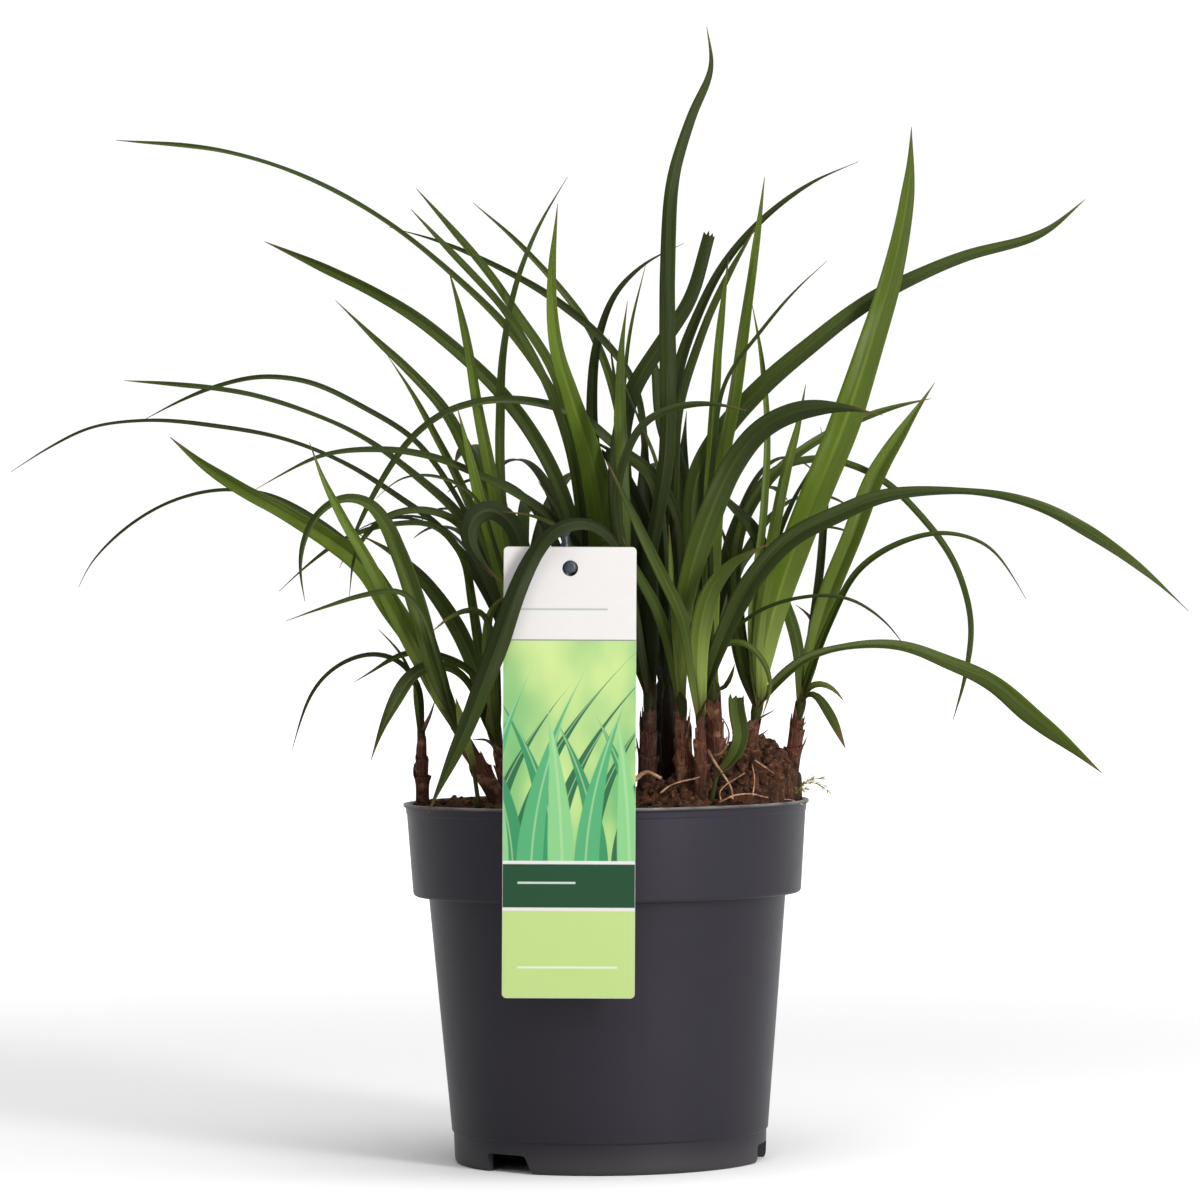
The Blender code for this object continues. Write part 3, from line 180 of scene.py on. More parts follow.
# The blades of each shoot: seen widths from tip to base, depths from tip towards base (the
# shoot's own depth comes last), the points of the middle line as seen, tip first, and how
# bright it is, from tip to base. A first width of 5 or more is a torn end.
BLADES = [("left_stem", [
    # The stem at the far left.
    ((2, 5, 4), (-12,), [(-89, 229), (-87, 215)], 0.5),
    ((1.3, 2, 3), (-30, -18), [(-146.8, 193.6), (-142.8, 206.6), (-137, 220), (-129, 229.4),
        (-119, 235.4), (-108, 237.8), (-97.6, 235), (-89, 226)], 0.15),
    ((1, 2), (14,), [(-105.6, 249.4), (-96, 238.6), (-90, 226)], 0.3),
]), ("left_front_shoot", [
    # The broad arches that leave to the left.
    ((4.5, 7, 11, 8), (-64, -60), [(-202.5, 341), (-188, 328.5), (-170, 316.5), (-150, 305),
        (-130, 293), (-111, 277.7), (-99.7, 260), (-89, 244), (-80, 224)], (0.35, 0.70, 0.60)),
    ((1, 2, 4), (-20, -30, -38), [(-246, 271), (-241.5, 280), (-233, 290), (-221, 300), (-200, 311),
        (-180, 315.2), (-158, 313), (-136, 302), (-114, 284), (-98, 262), (-86, 240), (-76, 220)],
        0.15),
    ((1.5, 3, 4.2, 7.5, 9, 8, 7), (-92, -84, -68), [(-140, 263), (-141.8, 277), (-140, 290.7),
        (-132.7, 303.7), (-121.4, 310.6), (-111, 309), (-102.3, 299), (-96, 286), (-90, 269),
        (-85, 252), (-80, 232)], 0.35),
    ((2, 6, 6), (-112, -92, -66), [(-137, 337.5), (-130, 319), (-122.3, 303.7), (-110, 282),
        (-99, 258), (-88, 236)], 0.85),
    ((1.5, 2.5, 3), (-104, -84), [(-149, 254), (-132.7, 259.5), (-109, 266), (-95, 267), (-86, 258),
        (-79, 240)], 0.25),
]), ("left_shoot", [
    # The shoot between the left side and the label.
    ((2, 7, 3, 6), (-74, -60), [(-110, 188), (-105.6, 200), (-98.4, 215.4), (-89.6, 228), (-80, 232),
        (-72, 230.6), (-64, 223.4), (-57, 208)], 0.25),
    ((2, 3.5, 3), (-44, -36), [(-117.6, 224.8), (-107, 231), (-97.6, 236.6), (-88, 238.6), (-75, 236),
        (-64, 230.6), (-54, 205)], 0.3),
    ((2, 8, 7), (8, -8), [(-115.3, 294.6), (-105, 289), (-91, 278.5), (-79, 264.7), (-69.4, 251),
        (-62.5, 236), (-54, 208)], 0.3),
    ((1, 2.5, 4, 6), (-48, -38), [(-152, 268), (-140, 278.5), (-122, 291), (-98, 298), (-79, 297),
        (-67, 284), (-62.5, 262), (-58.5, 236), (-53, 212)], 0.3),
    ((3, 3), (-84, -62), [(-80.7, 248), (-68.5, 257), (-58, 258), (-52, 244), (-50, 218)], 0.35),
    ((4, 5), (-58, -48), [(-43.4, 266), (-51, 261), (-55.5, 245), (-54, 222)], 0.6),
    ((2, 9, 6), (-40,), [(-55, 212), (-52, 201)], 0.6),
]), ("young_leaf", [
    ((2, 5, 4), (-68,), [(-69.8, 217), (-68, 207), (-65, 194)], 0.9),
]), ("label_left_shoot", [
    # The shoots behind the label: the far left arches.
    ((1.1, 1.6, 1.9, 3, 4.5), (-44, -26), [(-277, 325.5), (-260, 336), (-240, 345.3), (-215, 348.3),
        (-180, 345), (-150, 339), (-120, 326.6), (-94, 309.7), (-76, 296), (-62.5, 277), (-46, 244)],
        0.1),
    ((3, 1.6, 4.5, 7), (26, 16), [(-223.5, 367.6), (-195, 365), (-165, 359.8), (-140, 352),
        (-111, 338.3), (-85, 318.4), (-69, 303.7), (-52, 272), (-41, 240)], 0.25),
    ((1.6, 2.6, 2.3, 3.5), (66, 44, 20), [(-214.5, 349), (-200, 356.5), (-180, 364.5), (-162, 368.3),
        (-140, 366.3), (-111, 353), (-87.6, 337.5), (-72, 316.7), (-56, 284), (-43, 246)], 0.2),
    ((1, 2, 4), (-62, -44), [(-106, 311), (-95, 319.7), (-77, 320.5), (-62, 312.5), (-50, 284),
        (-41, 250)], 0.2),
    ((1.5, 4, 4), (-82, -58), [(-119.2, 265), (-115.5, 287), (-101, 303), (-82, 305.5), (-69, 300.5),
        (-58, 280), (-47, 252)], 0.2),
    ((3, 10, 8, 6, 6), (-88, -74, -46), [(-47, 270), (-57, 280), (-63, 291), (-60.5, 302),
        (-52, 305.5), (-43, 299), (-37, 282), (-34, 248)], (0.1, 0.0)),
    ((2, 7, 6), (44, 20), [(-124, 404), (-110, 390), (-90, 370), (-73, 350), (-63, 331), (-50, 300),
        (-41, 256)], 0.4),
    ((1.6, 5, 5), (10, 4), [(-100, 378), (-88, 359), (-76.3, 336), (-66.8, 317), (-52, 282),
        (-41, 246)], 0.4),
    ((2, 7, 6), (-56, -34), [(-67.7, 354), (-63.3, 337.5), (-58, 315), (-50, 284), (-40, 246)], 0.8),
    ((3, 6, 5), (-24, -16), [(-71, 418.5), (-66, 400), (-60.5, 372), (-56.4, 347), (-52, 322),
        (-44, 270)], 0.7),
    ((1, 4.5, 4.5), (-40, -8), [(-14.5, 460.5), (-27, 440), (-38.5, 414), (-46, 380), (-47.7, 343),
        (-47, 306), (-40, 258)], 0.45),
]), ("label_back_shoot", [
    # The tall arches over the label.
    ((2.5, 1.7, 3.2, 5, 6), (4, 12), [(-226, 480.3), (-178.5, 475), (-140, 462.5), (-100, 440),
        (-70, 415.5), (-40, 384.5), (-20, 352), (-10, 300), (-8, 256)], 0.3),
    ((4, 7, 6), (84, 44), [(-157, 432), (-130, 419.5), (-100, 404), (-70, 381.5), (-40, 351),
        (-19.3, 313), (-9, 262)], 0.35),
    ((3, 5, 5), (-26, -12), [(-85.5, 456), (-70, 438), (-55, 420), (-40, 399), (-22, 370), (-12, 320),
        (-8, 262)], 0.45),
    ((3, 4, 4), (-52, -28), [(-88.3, 446.5), (-75, 432), (-60, 416), (-45, 399), (-30, 374),
        (-16, 336), (-9, 270)], 0.4),
    ((2.5, 4.5, 8, 13.5, 14, 9), (-84, -60, -20), [(-19.3, 448), (-22.5, 410), (-20, 380), (-14, 357),
        (-4.5, 326), (0, 296), (-2, 256)], (0.85, 0.95, 0.7)),
    ((1, 3, 4.5, 4), (-66, -52, -30), [(-163, 315.5), (-150, 322.7), (-132, 331), (-107, 333.5),
        (-80.7, 330), (-60, 322), (-35, 309), (-15, 292), (-8, 258)], 0.2),
    ((2, 3), (-72, -50), [(-47, 304), (-33, 302), (-20, 296), (-11, 270)], 0.3),
    ((2, 3), (-40, -20), [(-30, 318), (-20, 302), (-12, 270)], 0.3),
]), ("centre_back_shoot", [
    # Behind the centre.
    ((1, 4, 3, 4), (66, 58), [(-98.5, 438), (-75, 431), (-50, 420), (-20, 402), (0, 385), (14, 366),
        (20, 330), (14, 272)], 0.15),
    ((2, 4.5, 5), (100, 74), [(-59, 449), (-40, 432), (-22, 412), (-5, 388), (7, 354), (12, 300),
        (11, 258)], 0.35),
    ((1, 6, 4.5), (88, 64), [(39.7, 428.7), (21, 419), (8, 406), (0, 386), (-4, 352), (0, 300),
        (6, 256)], 0.1),
]), ("centre_front_shoot", [
    ((2, 6, 6, 5), (-74, -62), [(12.9, 402), (9.8, 380), (9, 350), (10, 300), (10, 256)], 0.5),
]), ("centre_back_shoot", [
    ((1.5, 3), (110, 80), [(21.5, 418.5), (14, 388), (11, 360), (10, 290)], 0.4),
]), ("centre_front_shoot", [
    ((2, 4), (-66, -52), [(4, 385), (7, 360), (9, 320), (9, 266)], 0.3),
]), ("centre_back_shoot", [
    ((3, 7, 6), (-4, 22), [(1.6, 320), (8.8, 290), (10, 258)], 0.35),
]), ("centre_front_shoot", [
    # In front of the centre.
    ((2.5, 6, 7.8, 6.5, 5), (-78, -88, -62), [(51.6, 530), (53.7, 512), (44.3, 489), (34.6, 458),
        (31.3, 415), (31.5, 370), (30, 330), (20, 270)], (0.25, 0.10)),
    ((5.5, 7, 9, 10, 8), (-56, -46), [(52, 434), (41, 400), (28, 381), (14, 358), (8, 330), (12, 270)],
        0.15),
    ((3, 4, 4), (-92, -66), [(68, 350), (53, 353.3), (35, 352), (20, 345), (9, 324), (12, 270)], 0.2),
    ((2.5, 7.5, 10, 8, 4.5, 3, 3),
        (-66, -78, -92, -104, -108, -108, -108, -108, -107, -96, -84, -70, -54), [(-84.5, 161),
        (-77.6, 176), (-70.4, 191.4), (-63, 208), (-56, 226), (-48.6, 244.7), (-41.7, 264),
        (-34.7, 279.4), (-27, 291.5), (-18, 297.7), (-4.5, 298), (6, 289), (13, 266), (17, 240)],
        (0.35, 0.1, 0.0, 0.0)),
    ((6, 14, 8), (-18, -24), [(2, 334), (10, 318), (18, 298), (19, 256)], 0),
    ((2, 10, 8), (-28, -32), [(24, 304), (21.5, 275), (21, 245)], 0),
    ((1.5, 2.5), (-74, -58), [(-1, 290), (10, 289), (15, 262)], 0.3),
]), ("centre_shoot", [
    # The centre.
    ((1, 6, 5), (50, 30), [(122, 466), (100, 456.4), (80.4, 442.4), (60, 420), (45.4, 393), (37, 371),
        (33, 330), (29, 270)], 0.1),
    ((3, 4.5, 5), (-22, -8), [(74, 437), (60, 413), (46, 383), (36.5, 354), (33, 310), (28, 262)],
        0.35),
    ((2, 3.5, 5, 4), (-46, -30, -10), [(-123.6, 278.5), (-117, 293), (-108.4, 310.6), (-99, 326),
        (-87.6, 340), (-73.7, 350), (-50, 356), (-29.7, 354.5), (-12, 349), (7.6, 333), (25, 320),
        (36, 296), (33, 256)], 0.25),
    ((2, 4, 4), (-34, -16), [(-12.5, 341), (6, 331), (20, 322), (28, 290)], 0.3),
    ((1, 2, 3), (-56, -36), [(9, 368), (19, 343.6), (25.6, 327.6), (29, 300)], 0.3),
    ((7, 9, 7), (26, 18), [(27, 372), (29, 345), (36, 322), (34, 270)], 0.15),
    ((2, 9, 8), (-14, -6), [(34, 302), (31.5, 272), (30.5, 245)], 0.05),
]), ("inner_shoot", [
    # Dark growth inside the clump.
    ((2, 12, 13, 8), (34, 30), [(19, 345), (21, 310), (23, 280), (26, 250)], 0),
    ((2, 11, 11, 7), (48, 38), [(40, 350), (37, 320), (33, 290), (31, 255)], 0),
    ((2, 9, 9, 6), (12, 20), [(13, 318), (18, 290), (23, 262), (26, 240)], 0.05),
    ((2, 8, 8, 6), (56, 42), [(58, 312), (50, 285), (42, 260), (34, 240)], 0.05),
]), ("right_inner_shoot", [
    # Right of the centre.
    ((1.5, 9, 10.5, 11.5, 8, 5.5), (-104, -92, -70), [(132, 347), (112, 351), (92, 349.5), (76, 342),
        (61.6, 325), (51.6, 304), (44.5, 285), (39, 266), (36.5, 248), (35.2, 231)],
        (0.1, 0.15, 0.5, 0.9)),
    ((2, 3.5), (-74, -58), [(31, 297), (32.5, 268), (34, 240)], 0.7),
    ((2, 5, 6, 5), (-62, -58), [(9, 292), (16.9, 273.7), (23.9, 261), (30.5, 242), (34.2, 224)],
        (0.3, 0.5)),
]), ("right_middle_shoot", [
    ((1, 6, 3, 8, 9.5, 5), (-58, -66, -84, -92, -74), [(274, 253.5), (260, 267), (240, 283),
        (220, 295.7), (190, 307.3), (160, 310.5), (130, 308), (105, 298.6), (90.5, 291.5), (78.3, 281),
        (66.6, 265.8), (57.2, 247.5), (48.5, 224)], (0.4, 0.2, 0.15, 0.2)),
    ((1.2, 1.6, 2), (-92, -74, -46), [(142.8, 236), (132, 250), (116, 260.7), (90, 261.5), (68, 253),
        (52, 234.7), (45, 218)], 0.2),
    ((2, 6, 10, 8.5, 6), (-90, -80), [(78, 287.5), (62, 280), (52, 269), (46, 251), (44, 228)],
        (0.4, 0.6, 1.0)),
    ((2, 5, 6, 5), (-84, -88, -76), [(2.4, 327), (11.3, 309), (26.7, 276), (37.5, 252), (42, 226)],
        (0.2, 0.35, 0.5)),
    ((2, 3, 2), (-78, -60), [(73.7, 206.7), (78, 221), (75.3, 231), (63, 242), (50, 236), (45, 224)],
        0.4),
]), ("mound_shoot", [
    ((2.5, 5, 7, 6), (-66, -50), [(77.9, 459.5), (74, 431), (66.7, 389), (62, 357), (55, 320),
        (51, 270), (50, 240)], 0.85),
    ((3, 5, 5), (-58, -46), [(60.4, 421), (56.6, 392), (53, 357), (50, 310), (49, 250)], 0.75),
    ((1, 2.2, 3), (-96, -70), [(106.6, 419.6), (91.6, 406), (74.8, 387), (58.5, 365), (52, 330),
        (50, 270)], 0.3),
    ((3, 7, 10, 8), (-50, -56, -44), [(228, 447), (210.6, 433), (170, 420.7), (131, 404), (100, 381.5),
        (72, 357.7), (56, 339.6), (45, 320), (42, 292), (46, 250)], 0.3),
    ((2, 3.5, 3), (-44,), [(61, 231), (58, 221), (54.5, 217)], 0.4),
    ((2, 4), (-40,), [(48.8, 290), (48.5, 262), (49.5, 238)], 0.6),
]), ("right_shoot", [
    # The right shoot with the big bright blade.
    ((3.5, 10, 14.5, 14, 7), (-74, -62), [(147, 482), (146, 460), (138, 416), (126, 378), (112.8, 340),
        (100, 310), (84.5, 270), (76, 240), (72.5, 222)], (0.6, 0.75, 1.0, 1.15)),
    ((4.5, 9, 6, 2.5, 6), (-108, -80, -56), [(232.6, 178), (220, 189), (200, 205), (180, 222),
        (160, 230.5), (140, 238), (116, 238.4), (93, 232), (80, 221), (74, 214)], 0.4),
    ((3, 5, 5), (16, -8), [(154.5, 354.5), (140, 351.5), (104, 337), (80, 319), (66, 298), (62, 262),
        (66, 228)], 0.35),
    ((3, 5.5, 5), (-66, -56), [(96, 362), (92, 342), (85, 318), (79, 287), (72, 244)], 0.8),
    ((2, 4), (-14, -24), [(101, 328), (88, 304), (79, 280), (70, 240)], 0.1),
    ((2, 3.5, 4), (-30, -34), [(71.3, 400), (75.5, 374), (77.2, 338), (75, 300), (69, 250)], 0.6),
    ((4, 8, 6), (-36, -30), [(47, 319), (58, 308), (72, 291), (76, 270), (70, 234)], 0.15),
    ((2.5, 3.5, 4), (44, 20), [(163, 203.5), (169, 224), (172, 250), (165, 276), (150, 298),
        (127.6, 318.7), (100, 326.8), (80, 321), (66, 298), (60, 262), (65, 226)], 0.25),
    ((2, 5, 5), (0, -20), [(54, 300), (61, 275), (65, 240)], 0.15),
]), ("broken_leaf", [
    ((7, 8, 7.5, 5), (-56,), [(61.5, 217), (61.6, 208), (64, 198), (60, 187), (55, 181)],
        (0.25, 0.35, 0.2)),
]), ("right_stem", [
    # The stem on the mound at the far right.
    ((2.5, 9.5, 9.5, 6), (22, 8), [(156.5, 362), (142, 341), (128.7, 320), (116.5, 290), (104, 260),
        (96, 232)], 0.55),
    ((1, 2.5, 4), (-50, -26), [(198, 260), (192.5, 269.6), (180, 285), (160, 291), (140, 287),
        (120, 274.5), (107, 252), (97, 228)], 0.3),
    ((1, 4, 5), (-18,), [(111.8, 213.4), (105, 220.6), (97, 221)], 0.5),
    ((3, 5, 4), (-34, -20), [(112.5, 191), (109, 199), (102, 212), (96, 218)], 0.35),
    ((3, 6, 5), (-24, -14), [(76, 285), (86, 258), (91.5, 236)], 0.4),
    ((1, 4, 4), (16, 6), [(90, 258.5), (97, 253), (99, 236), (94, 220)], 0.3),
    ((2, 4, 4), (42, 20), [(102.7, 342), (105, 320), (103.3, 290), (98, 250)], 0.2),
])]

# How far apart in depth two blades of different shoots stay, and two of one shoot, and how
# far apart a blade's points are.
CLEAR = 1.5
CLEAR_WITHIN = 0.5
SAMPLE = 4.0

# A blade that ends narrower than this tapers to a point over its tip's length.
TORN_WIDTH = 5.0
TIP_LENGTH = 30.0
TIP_HALF = 0.12

# The width up to which a blade's unseen part lies in depth, and how deep an edge may lie.
FULL_WIDTH = 7.5
MOST_TILT = 2.4

# How much of its half width a folded blade takes in depth.
FOLD_DEPTH = 0.35

# Near its crown a blade keeps its place, and further out it may be bent.
FIXED_LENGTH = 12.0
FREEING_LENGTH = 40.0

# Settling: how often blades are pushed, how little lack of room ends it, and how many
# points of a blade share a push.
SETTLE_TURNS = 260
SETTLED = 0.05
SOFTENING = 9


def seen_to_real(x, depth, z):
    """Pushes a point that is seen at x, z along its sight line to its true depth."""
    scale = (EYE_DISTANCE + depth) / EYE_DISTANCE
    return np.stack(
        [EYE_X + (x - EYE_X) * scale, depth, EYE_Z + (z - EYE_Z) * scale], axis=-1)


def smooth_curve(points, step):
    """Points every step along a smooth curve through the given ones."""
    points = np.array(points, float)
    along = np.append(0, np.cumsum(np.linalg.norm(np.diff(points, axis=0), axis=1)))
    slope = np.gradient(points, along, axis=0)
    count = max(2, math.ceil(along[-1] / step))
    at = np.linspace(0, along[-1], count + 1)
    k = np.clip(np.searchsorted(along, at, side="right") - 1, 0, len(points) - 2)
    span = along[k + 1] - along[k]
    t = ((at - along[k]) / span)[:, None]
    span = span[:, None]
    return ((2 * t**3 - 3 * t**2 + 1) * points[k] + (t**3 - 2 * t**2 + t) * span * slope[k]
        + (3 * t**2 - 2 * t**3) * points[k + 1] + (t**3 - t**2) * span * slope[k + 1])


def spread(values, count):
    """The values as an even run of count numbers."""
    return np.interp(np.linspace(0, 1, count), np.linspace(0, 1, len(values)), values)


class Blade:
    """One blade: its middle line as seen, with its depth, seen half width and tilt."""

    def __init__(self, shoot, widths, depths, points):
        (_, base_depth, _), crown, _, _ = SHOOTS[shoot]
        self.line = smooth_curve(list(points) + [crown], SAMPLE)
        count = len(self.line)
        self.depth = spread(list(depths) + [base_depth], count)
        for _ in range(count // 3):
            self.depth[1:-1] = (self.depth[:-2] + 2 * self.depth[1:-1] + self.depth[2:]) / 4
        left = self.measure(shoot, np.linalg.norm(np.diff(self.line, axis=0), axis=1))
        self.half = spread(widths, count) / 2
        if widths[0] < TORN_WIDTH:
            point = np.minimum(1, self.along / min(TIP_LENGTH, self.along[-1] / 4)) ** 0.75
            self.half = np.maximum(self.half * point, TIP_HALF)
        self.half *= np.clip(0.5 + 0.5 * left / 20, 0, 1)
        # The blade is as wide as its widest seen part, and what isn't seen of it lies in depth.
        grown = np.minimum(1, self.along / (0.3 * self.along[-1]))
        full = min(max(widths), FULL_WIDTH) / 2 * grown
        self.tilt = np.minimum(np.sqrt(np.maximum(full**2 - self.half**2, 0)), MOST_TILT)

    def measure(self, shoot, steps):
        """Notes the length along the blade from its tip, and gives what is left to its crown."""
        self.shoot = shoot
        self.along = np.append(0, np.cumsum(steps))
        left = self.along[-1] - self.along
        self.free = np.clip((left - FIXED_LENGTH) / FREEING_LENGTH, 0, 1)
        return left

    def across(self):
        """The line from the middle to one edge, at each point. The upper edge lies further off."""
        run = np.gradient(self.line, axis=0)
        run /= np.linalg.norm(run, axis=1)[:, None]
        side = np.stack([-run[:, 1], 0 * self.half, run[:, 0]], axis=-1)
        upper = 1.0 if side[:, 2].mean() > 0 else -1.0
        side *= self.half[:, None]
        side[:, 1] = upper * self.tilt
        return side

    def middle(self):
        """The true middle line."""
        return seen_to_real(self.line[:, 0], self.depth, self.line[:, 1])

    @property
    def thick(self):
        """How far it reaches from its middle in depth, with its fold."""
        return self.tilt + self.half * FOLD_DEPTH


class GrownBlade(Blade):
    """A blade that the front view hides, grown by rule towards a compass angle."""

    def __init__(self, shoot, angle, reach, rise, width):
        (_, base_depth, _), crown, _, _ = SHOOTS[shoot]
        t = np.linspace(1, 0, max(8, round((reach + rise) / SAMPLE)))
        out = reach * t**1.5
        scale = (EYE_DISTANCE + base_depth) / EYE_DISTANCE
        x = EYE_X + (crown[0] - EYE_X) * scale + out * math.cos(angle)
        z = EYE_Z + (crown[1] - EYE_Z) * scale + rise * (2.1 * t - 1.1 * t**2.6)
        self.depth = base_depth + out * math.sin(angle)
        scale = (EYE_DISTANCE + self.depth) / EYE_DISTANCE
        self.line = np.stack([EYE_X + (x - EYE_X) / scale, EYE_Z + (z - EYE_Z) / scale], axis=-1)
        self.measure(shoot, np.hypot(np.hypot(*np.diff(self.line, axis=0).T), np.diff(self.depth)))
        whole = self.along[-1]
        self.wide = np.interp(self.along, [0, 12, 0.5 * whole, whole - 15, whole],
            [0.4, width * 0.5, width, width * 0.7, width * 0.3]) / 2
        self.half = self.wide * max(0.3, abs(math.sin(angle)))
        self.tilt = self.wide * abs(math.cos(angle))
        self.flat = (-math.sin(angle), math.cos(angle), 0)

    def across(self):
        """The line from the middle to one edge, level and square to the way it grows."""
        return self.wide[:, None] * np.array(self.flat)


class Post:
    """What blades bend round: points as seen, with their depth, half width and thickness."""

    def __init__(self, line, depth, half, thick, shoot=None):
        self.shoot = shoot
        self.line = line
        self.depth, self.half, self.thick, self.free = (np.zeros(len(line)) + value
            for value in (depth, half, thick, 0.0))


def settle(blades, posts):
    """Bends blades apart in depth where they would cross, without moving what is seen."""
    things = blades + posts
    line, depth, half, thick, free = (np.concatenate([getattr(thing, key) for thing in things])
        for key in ("line", "depth", "half", "thick", "free"))
    counts = [len(thing.line) for thing in things]
    owner = np.repeat(np.arange(len(counts)), counts)
    names = sorted(SHOOTS)
    group = np.repeat([names.index(thing.shoot) if thing.shoot else -1 - n
        for n, thing in enumerate(things)], counts)

    first, second = [], []
    for i in range(len(line) - 1):
        gap = np.hypot(*(line[i + 1:] - line[i]).T)
        j = i + 1 + np.nonzero(
            (gap < half[i + 1:] + half[i] + SAMPLE * 0.7) & (owner[i + 1:] != owner[i])
            & (free[i + 1:] + free[i] > 0))[0]
        same = group[j] == group[i]
        j = j[~same | ((free[j] > 0.99) & (free[i] > 0.99))]
        first.append(np.full(len(j), i))
        second.append(j)
    i, j = np.concatenate(first), np.concatenate(second)
    need = thick[i] + thick[j] + np.where(group[i] == group[j], CLEAR_WITHIN, CLEAR)
    # Each pair of blades keeps one order in depth all along.
    place = np.unique(owner[i] * len(counts) + owner[j], return_inverse=True)[1]
    mean = np.bincount(place, depth[i] - depth[j]) / np.bincount(place)
    order = np.where(mean >= 0, 1.0, -1.0)[place]
    # A blade may pass in front of the label and dip behind it further on.
    beside = (group[i] < 0) | (group[j] < 0)
    order = np.where(beside, np.where(depth[i] >= depth[j], 1.0, -1.0), order)
    starts = np.append(0, np.cumsum(counts))
    weight = free[i] / (free[i] + free[j])
    for turn in range(SETTLE_TURNS):
        short = np.maximum(0, need - order * (depth[i] - depth[j]))
        if short.max() < SETTLED:
            break
        push = np.bincount(i, order * short * weight, len(line))
        push -= np.bincount(j, order * short * (1 - weight), len(line))
        hits = np.bincount(i, short > 0, len(line)) + np.bincount(j, short > 0, len(line))
        push = push / np.maximum(hits, 1) * 1.3
        for b in range(len(blades)):
            part = slice(starts[b], starts[b + 1])
            soft = np.convolve(np.pad(push[part], SOFTENING // 2, mode="edge"),
                np.ones(SOFTENING) / SOFTENING, "valid")
            # A push acts in full where it is needed and fades along the blade.
            depth[part] += np.where(abs(push[part]) > abs(soft), push[part] * 0.5 + soft * 0.5,
                soft) * free[part]
            if turn % 4 == 0:
                d = depth[part]
                d[1:-1] += (d[:-2] - 2 * d[1:-1] + d[2:]) * 0.22 * free[part][1:-1]
    for b, blade in enumerate(blades):
        blade.depth = depth[starts[b]:starts[b + 1]]


def grow_back_blades():
    """The blades of the back shoots and those that lean to the back from the middle ones."""
    draw = random.Random(11)
    blades = []
    fans = [("back_left_shoot", 7, 60, 205), ("back_right_shoot", 7, -25, 120),
        ("centre_back_shoot", 3, 62, 122), ("label_back_shoot", 2, 100, 150)]
    for shoot, count, start, end in fans:
        for n in range(count):
            angle = math.radians(start + (end - start) * (n + draw.uniform(0.2, 0.8)) / count)
            back = max(0.0, math.sin(angle))
            reach = draw.uniform(45, 80) + 60 * back * draw.random()
            rise = draw.uniform(55, 95) + 65 * back * draw.random()
            blades.append(GrownBlade(shoot, angle, reach, rise, draw.uniform(6.5, 9)))
    return blades


def make_posts():
    """Each shoot's stem, the label and the stake, as what blades bend round."""
    made = []
    for name, (foot, crown, width, _) in SHOOTS.items():
        stem = smooth_curve([(foot[0], foot[2] - 4), crown], SAMPLE)
        made.append(Post(stem, foot[1], width / 2 + 0.9, width / 2 + 0.9, name))
    across = np.arange(LABEL_TOP[0] - 33, LABEL_TOP[0] + 31, SAMPLE)
    up = np.arange(POT_HEIGHT + 2, LABEL_TOP[1] + 2, SAMPLE)
    card = np.stack([grid.ravel() for grid in np.meshgrid(across, up)], axis=-1)
    made.append(Post(card, LABEL_DEPTH, SAMPLE / 2, LABEL_THICK * 0.75))
    up = np.arange(POT_HEIGHT + 2, LABEL_TOP[1] + 12, SAMPLE)
    pin = np.stack([np.full(len(up), STAKE_FOOT[0] - 0.6), up], axis=-1)
    lean = math.tan(math.radians(STAKE_LEAN))
    depth = STAKE_FOOT[1] - (up - STAKE_FOOT[2]) * lean
    made.append(Post(pin, depth, STAKE_RADIUS + 0.6, STAKE_RADIUS + 0.6))
    return made


# Helpers for meshes and materials.

scene = bpy.context.scene
collection = bpy.data.collections.new("carex_sedge")
scene.collection.children.link(collection)


def placed(name, data, holder=None):
    """A new object, linked to the scene or to the collection that is given."""
    obj = bpy.data.objects.new(name, data)
    (holder or scene.collection).objects.link(obj)
    return obj


def piece(name, mesh, mat, node=None, angle=None):
    """A shown piece, smooth but for edges sharper than the angle, on the part's one body."""
    obj = placed(name, mesh, collection)
    mesh.shade_smooth()
    if angle:
        mesh.set_sharp_from_angle(angle=math.radians(angle))
    mesh.materials.clear()
    mesh.materials.append(mat)
    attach(obj, "root")
    if node:
        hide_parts(node)
    return obj


def point_mesh(name, points, faces, values=None):
    """A mesh in metres from points in millimetres, with values at its points."""
    mesh = bpy.data.meshes.new(name)
    mesh.from_pydata((np.asarray(points) * MM).tolist(), [], faces)
    for key, numbers in (values or {}).items():
        layer = mesh.attributes.new(key, "FLOAT", "POINT")
        layer.data.foreach_set("value", np.asarray(numbers, np.float32))
    return mesh


def bm_mesh(name, bm):
    """A mesh from a bmesh, which is freed."""
    mesh = bpy.data.meshes.new(name)
    bm.to_mesh(mesh)
    bm.free()
    return mesh


def ring_faces(rings, sides, first=0):
    """Quads between rings of points."""
    faces = []
    for a in range(first, first + (rings - 1) * sides, sides):
        b = a + sides
        for c in range(sides):
            d = (c + 1) % sides
            faces.append((a + c, a + d, b + d, b + c))
    return faces


def tube_faces(rings, sides, first=0):
    """Quads between rings of points, and a cap on each end."""
    last = first + (rings - 1) * sides
    return ring_faces(rings, sides, first) + [tuple(range(first, first + sides))[::-1],
        tuple(range(last, last + sides))]


def ring_turn(sides):
    """The angles of a ring's points."""
    return np.linspace(0, math.tau, sides, endpoint=False)


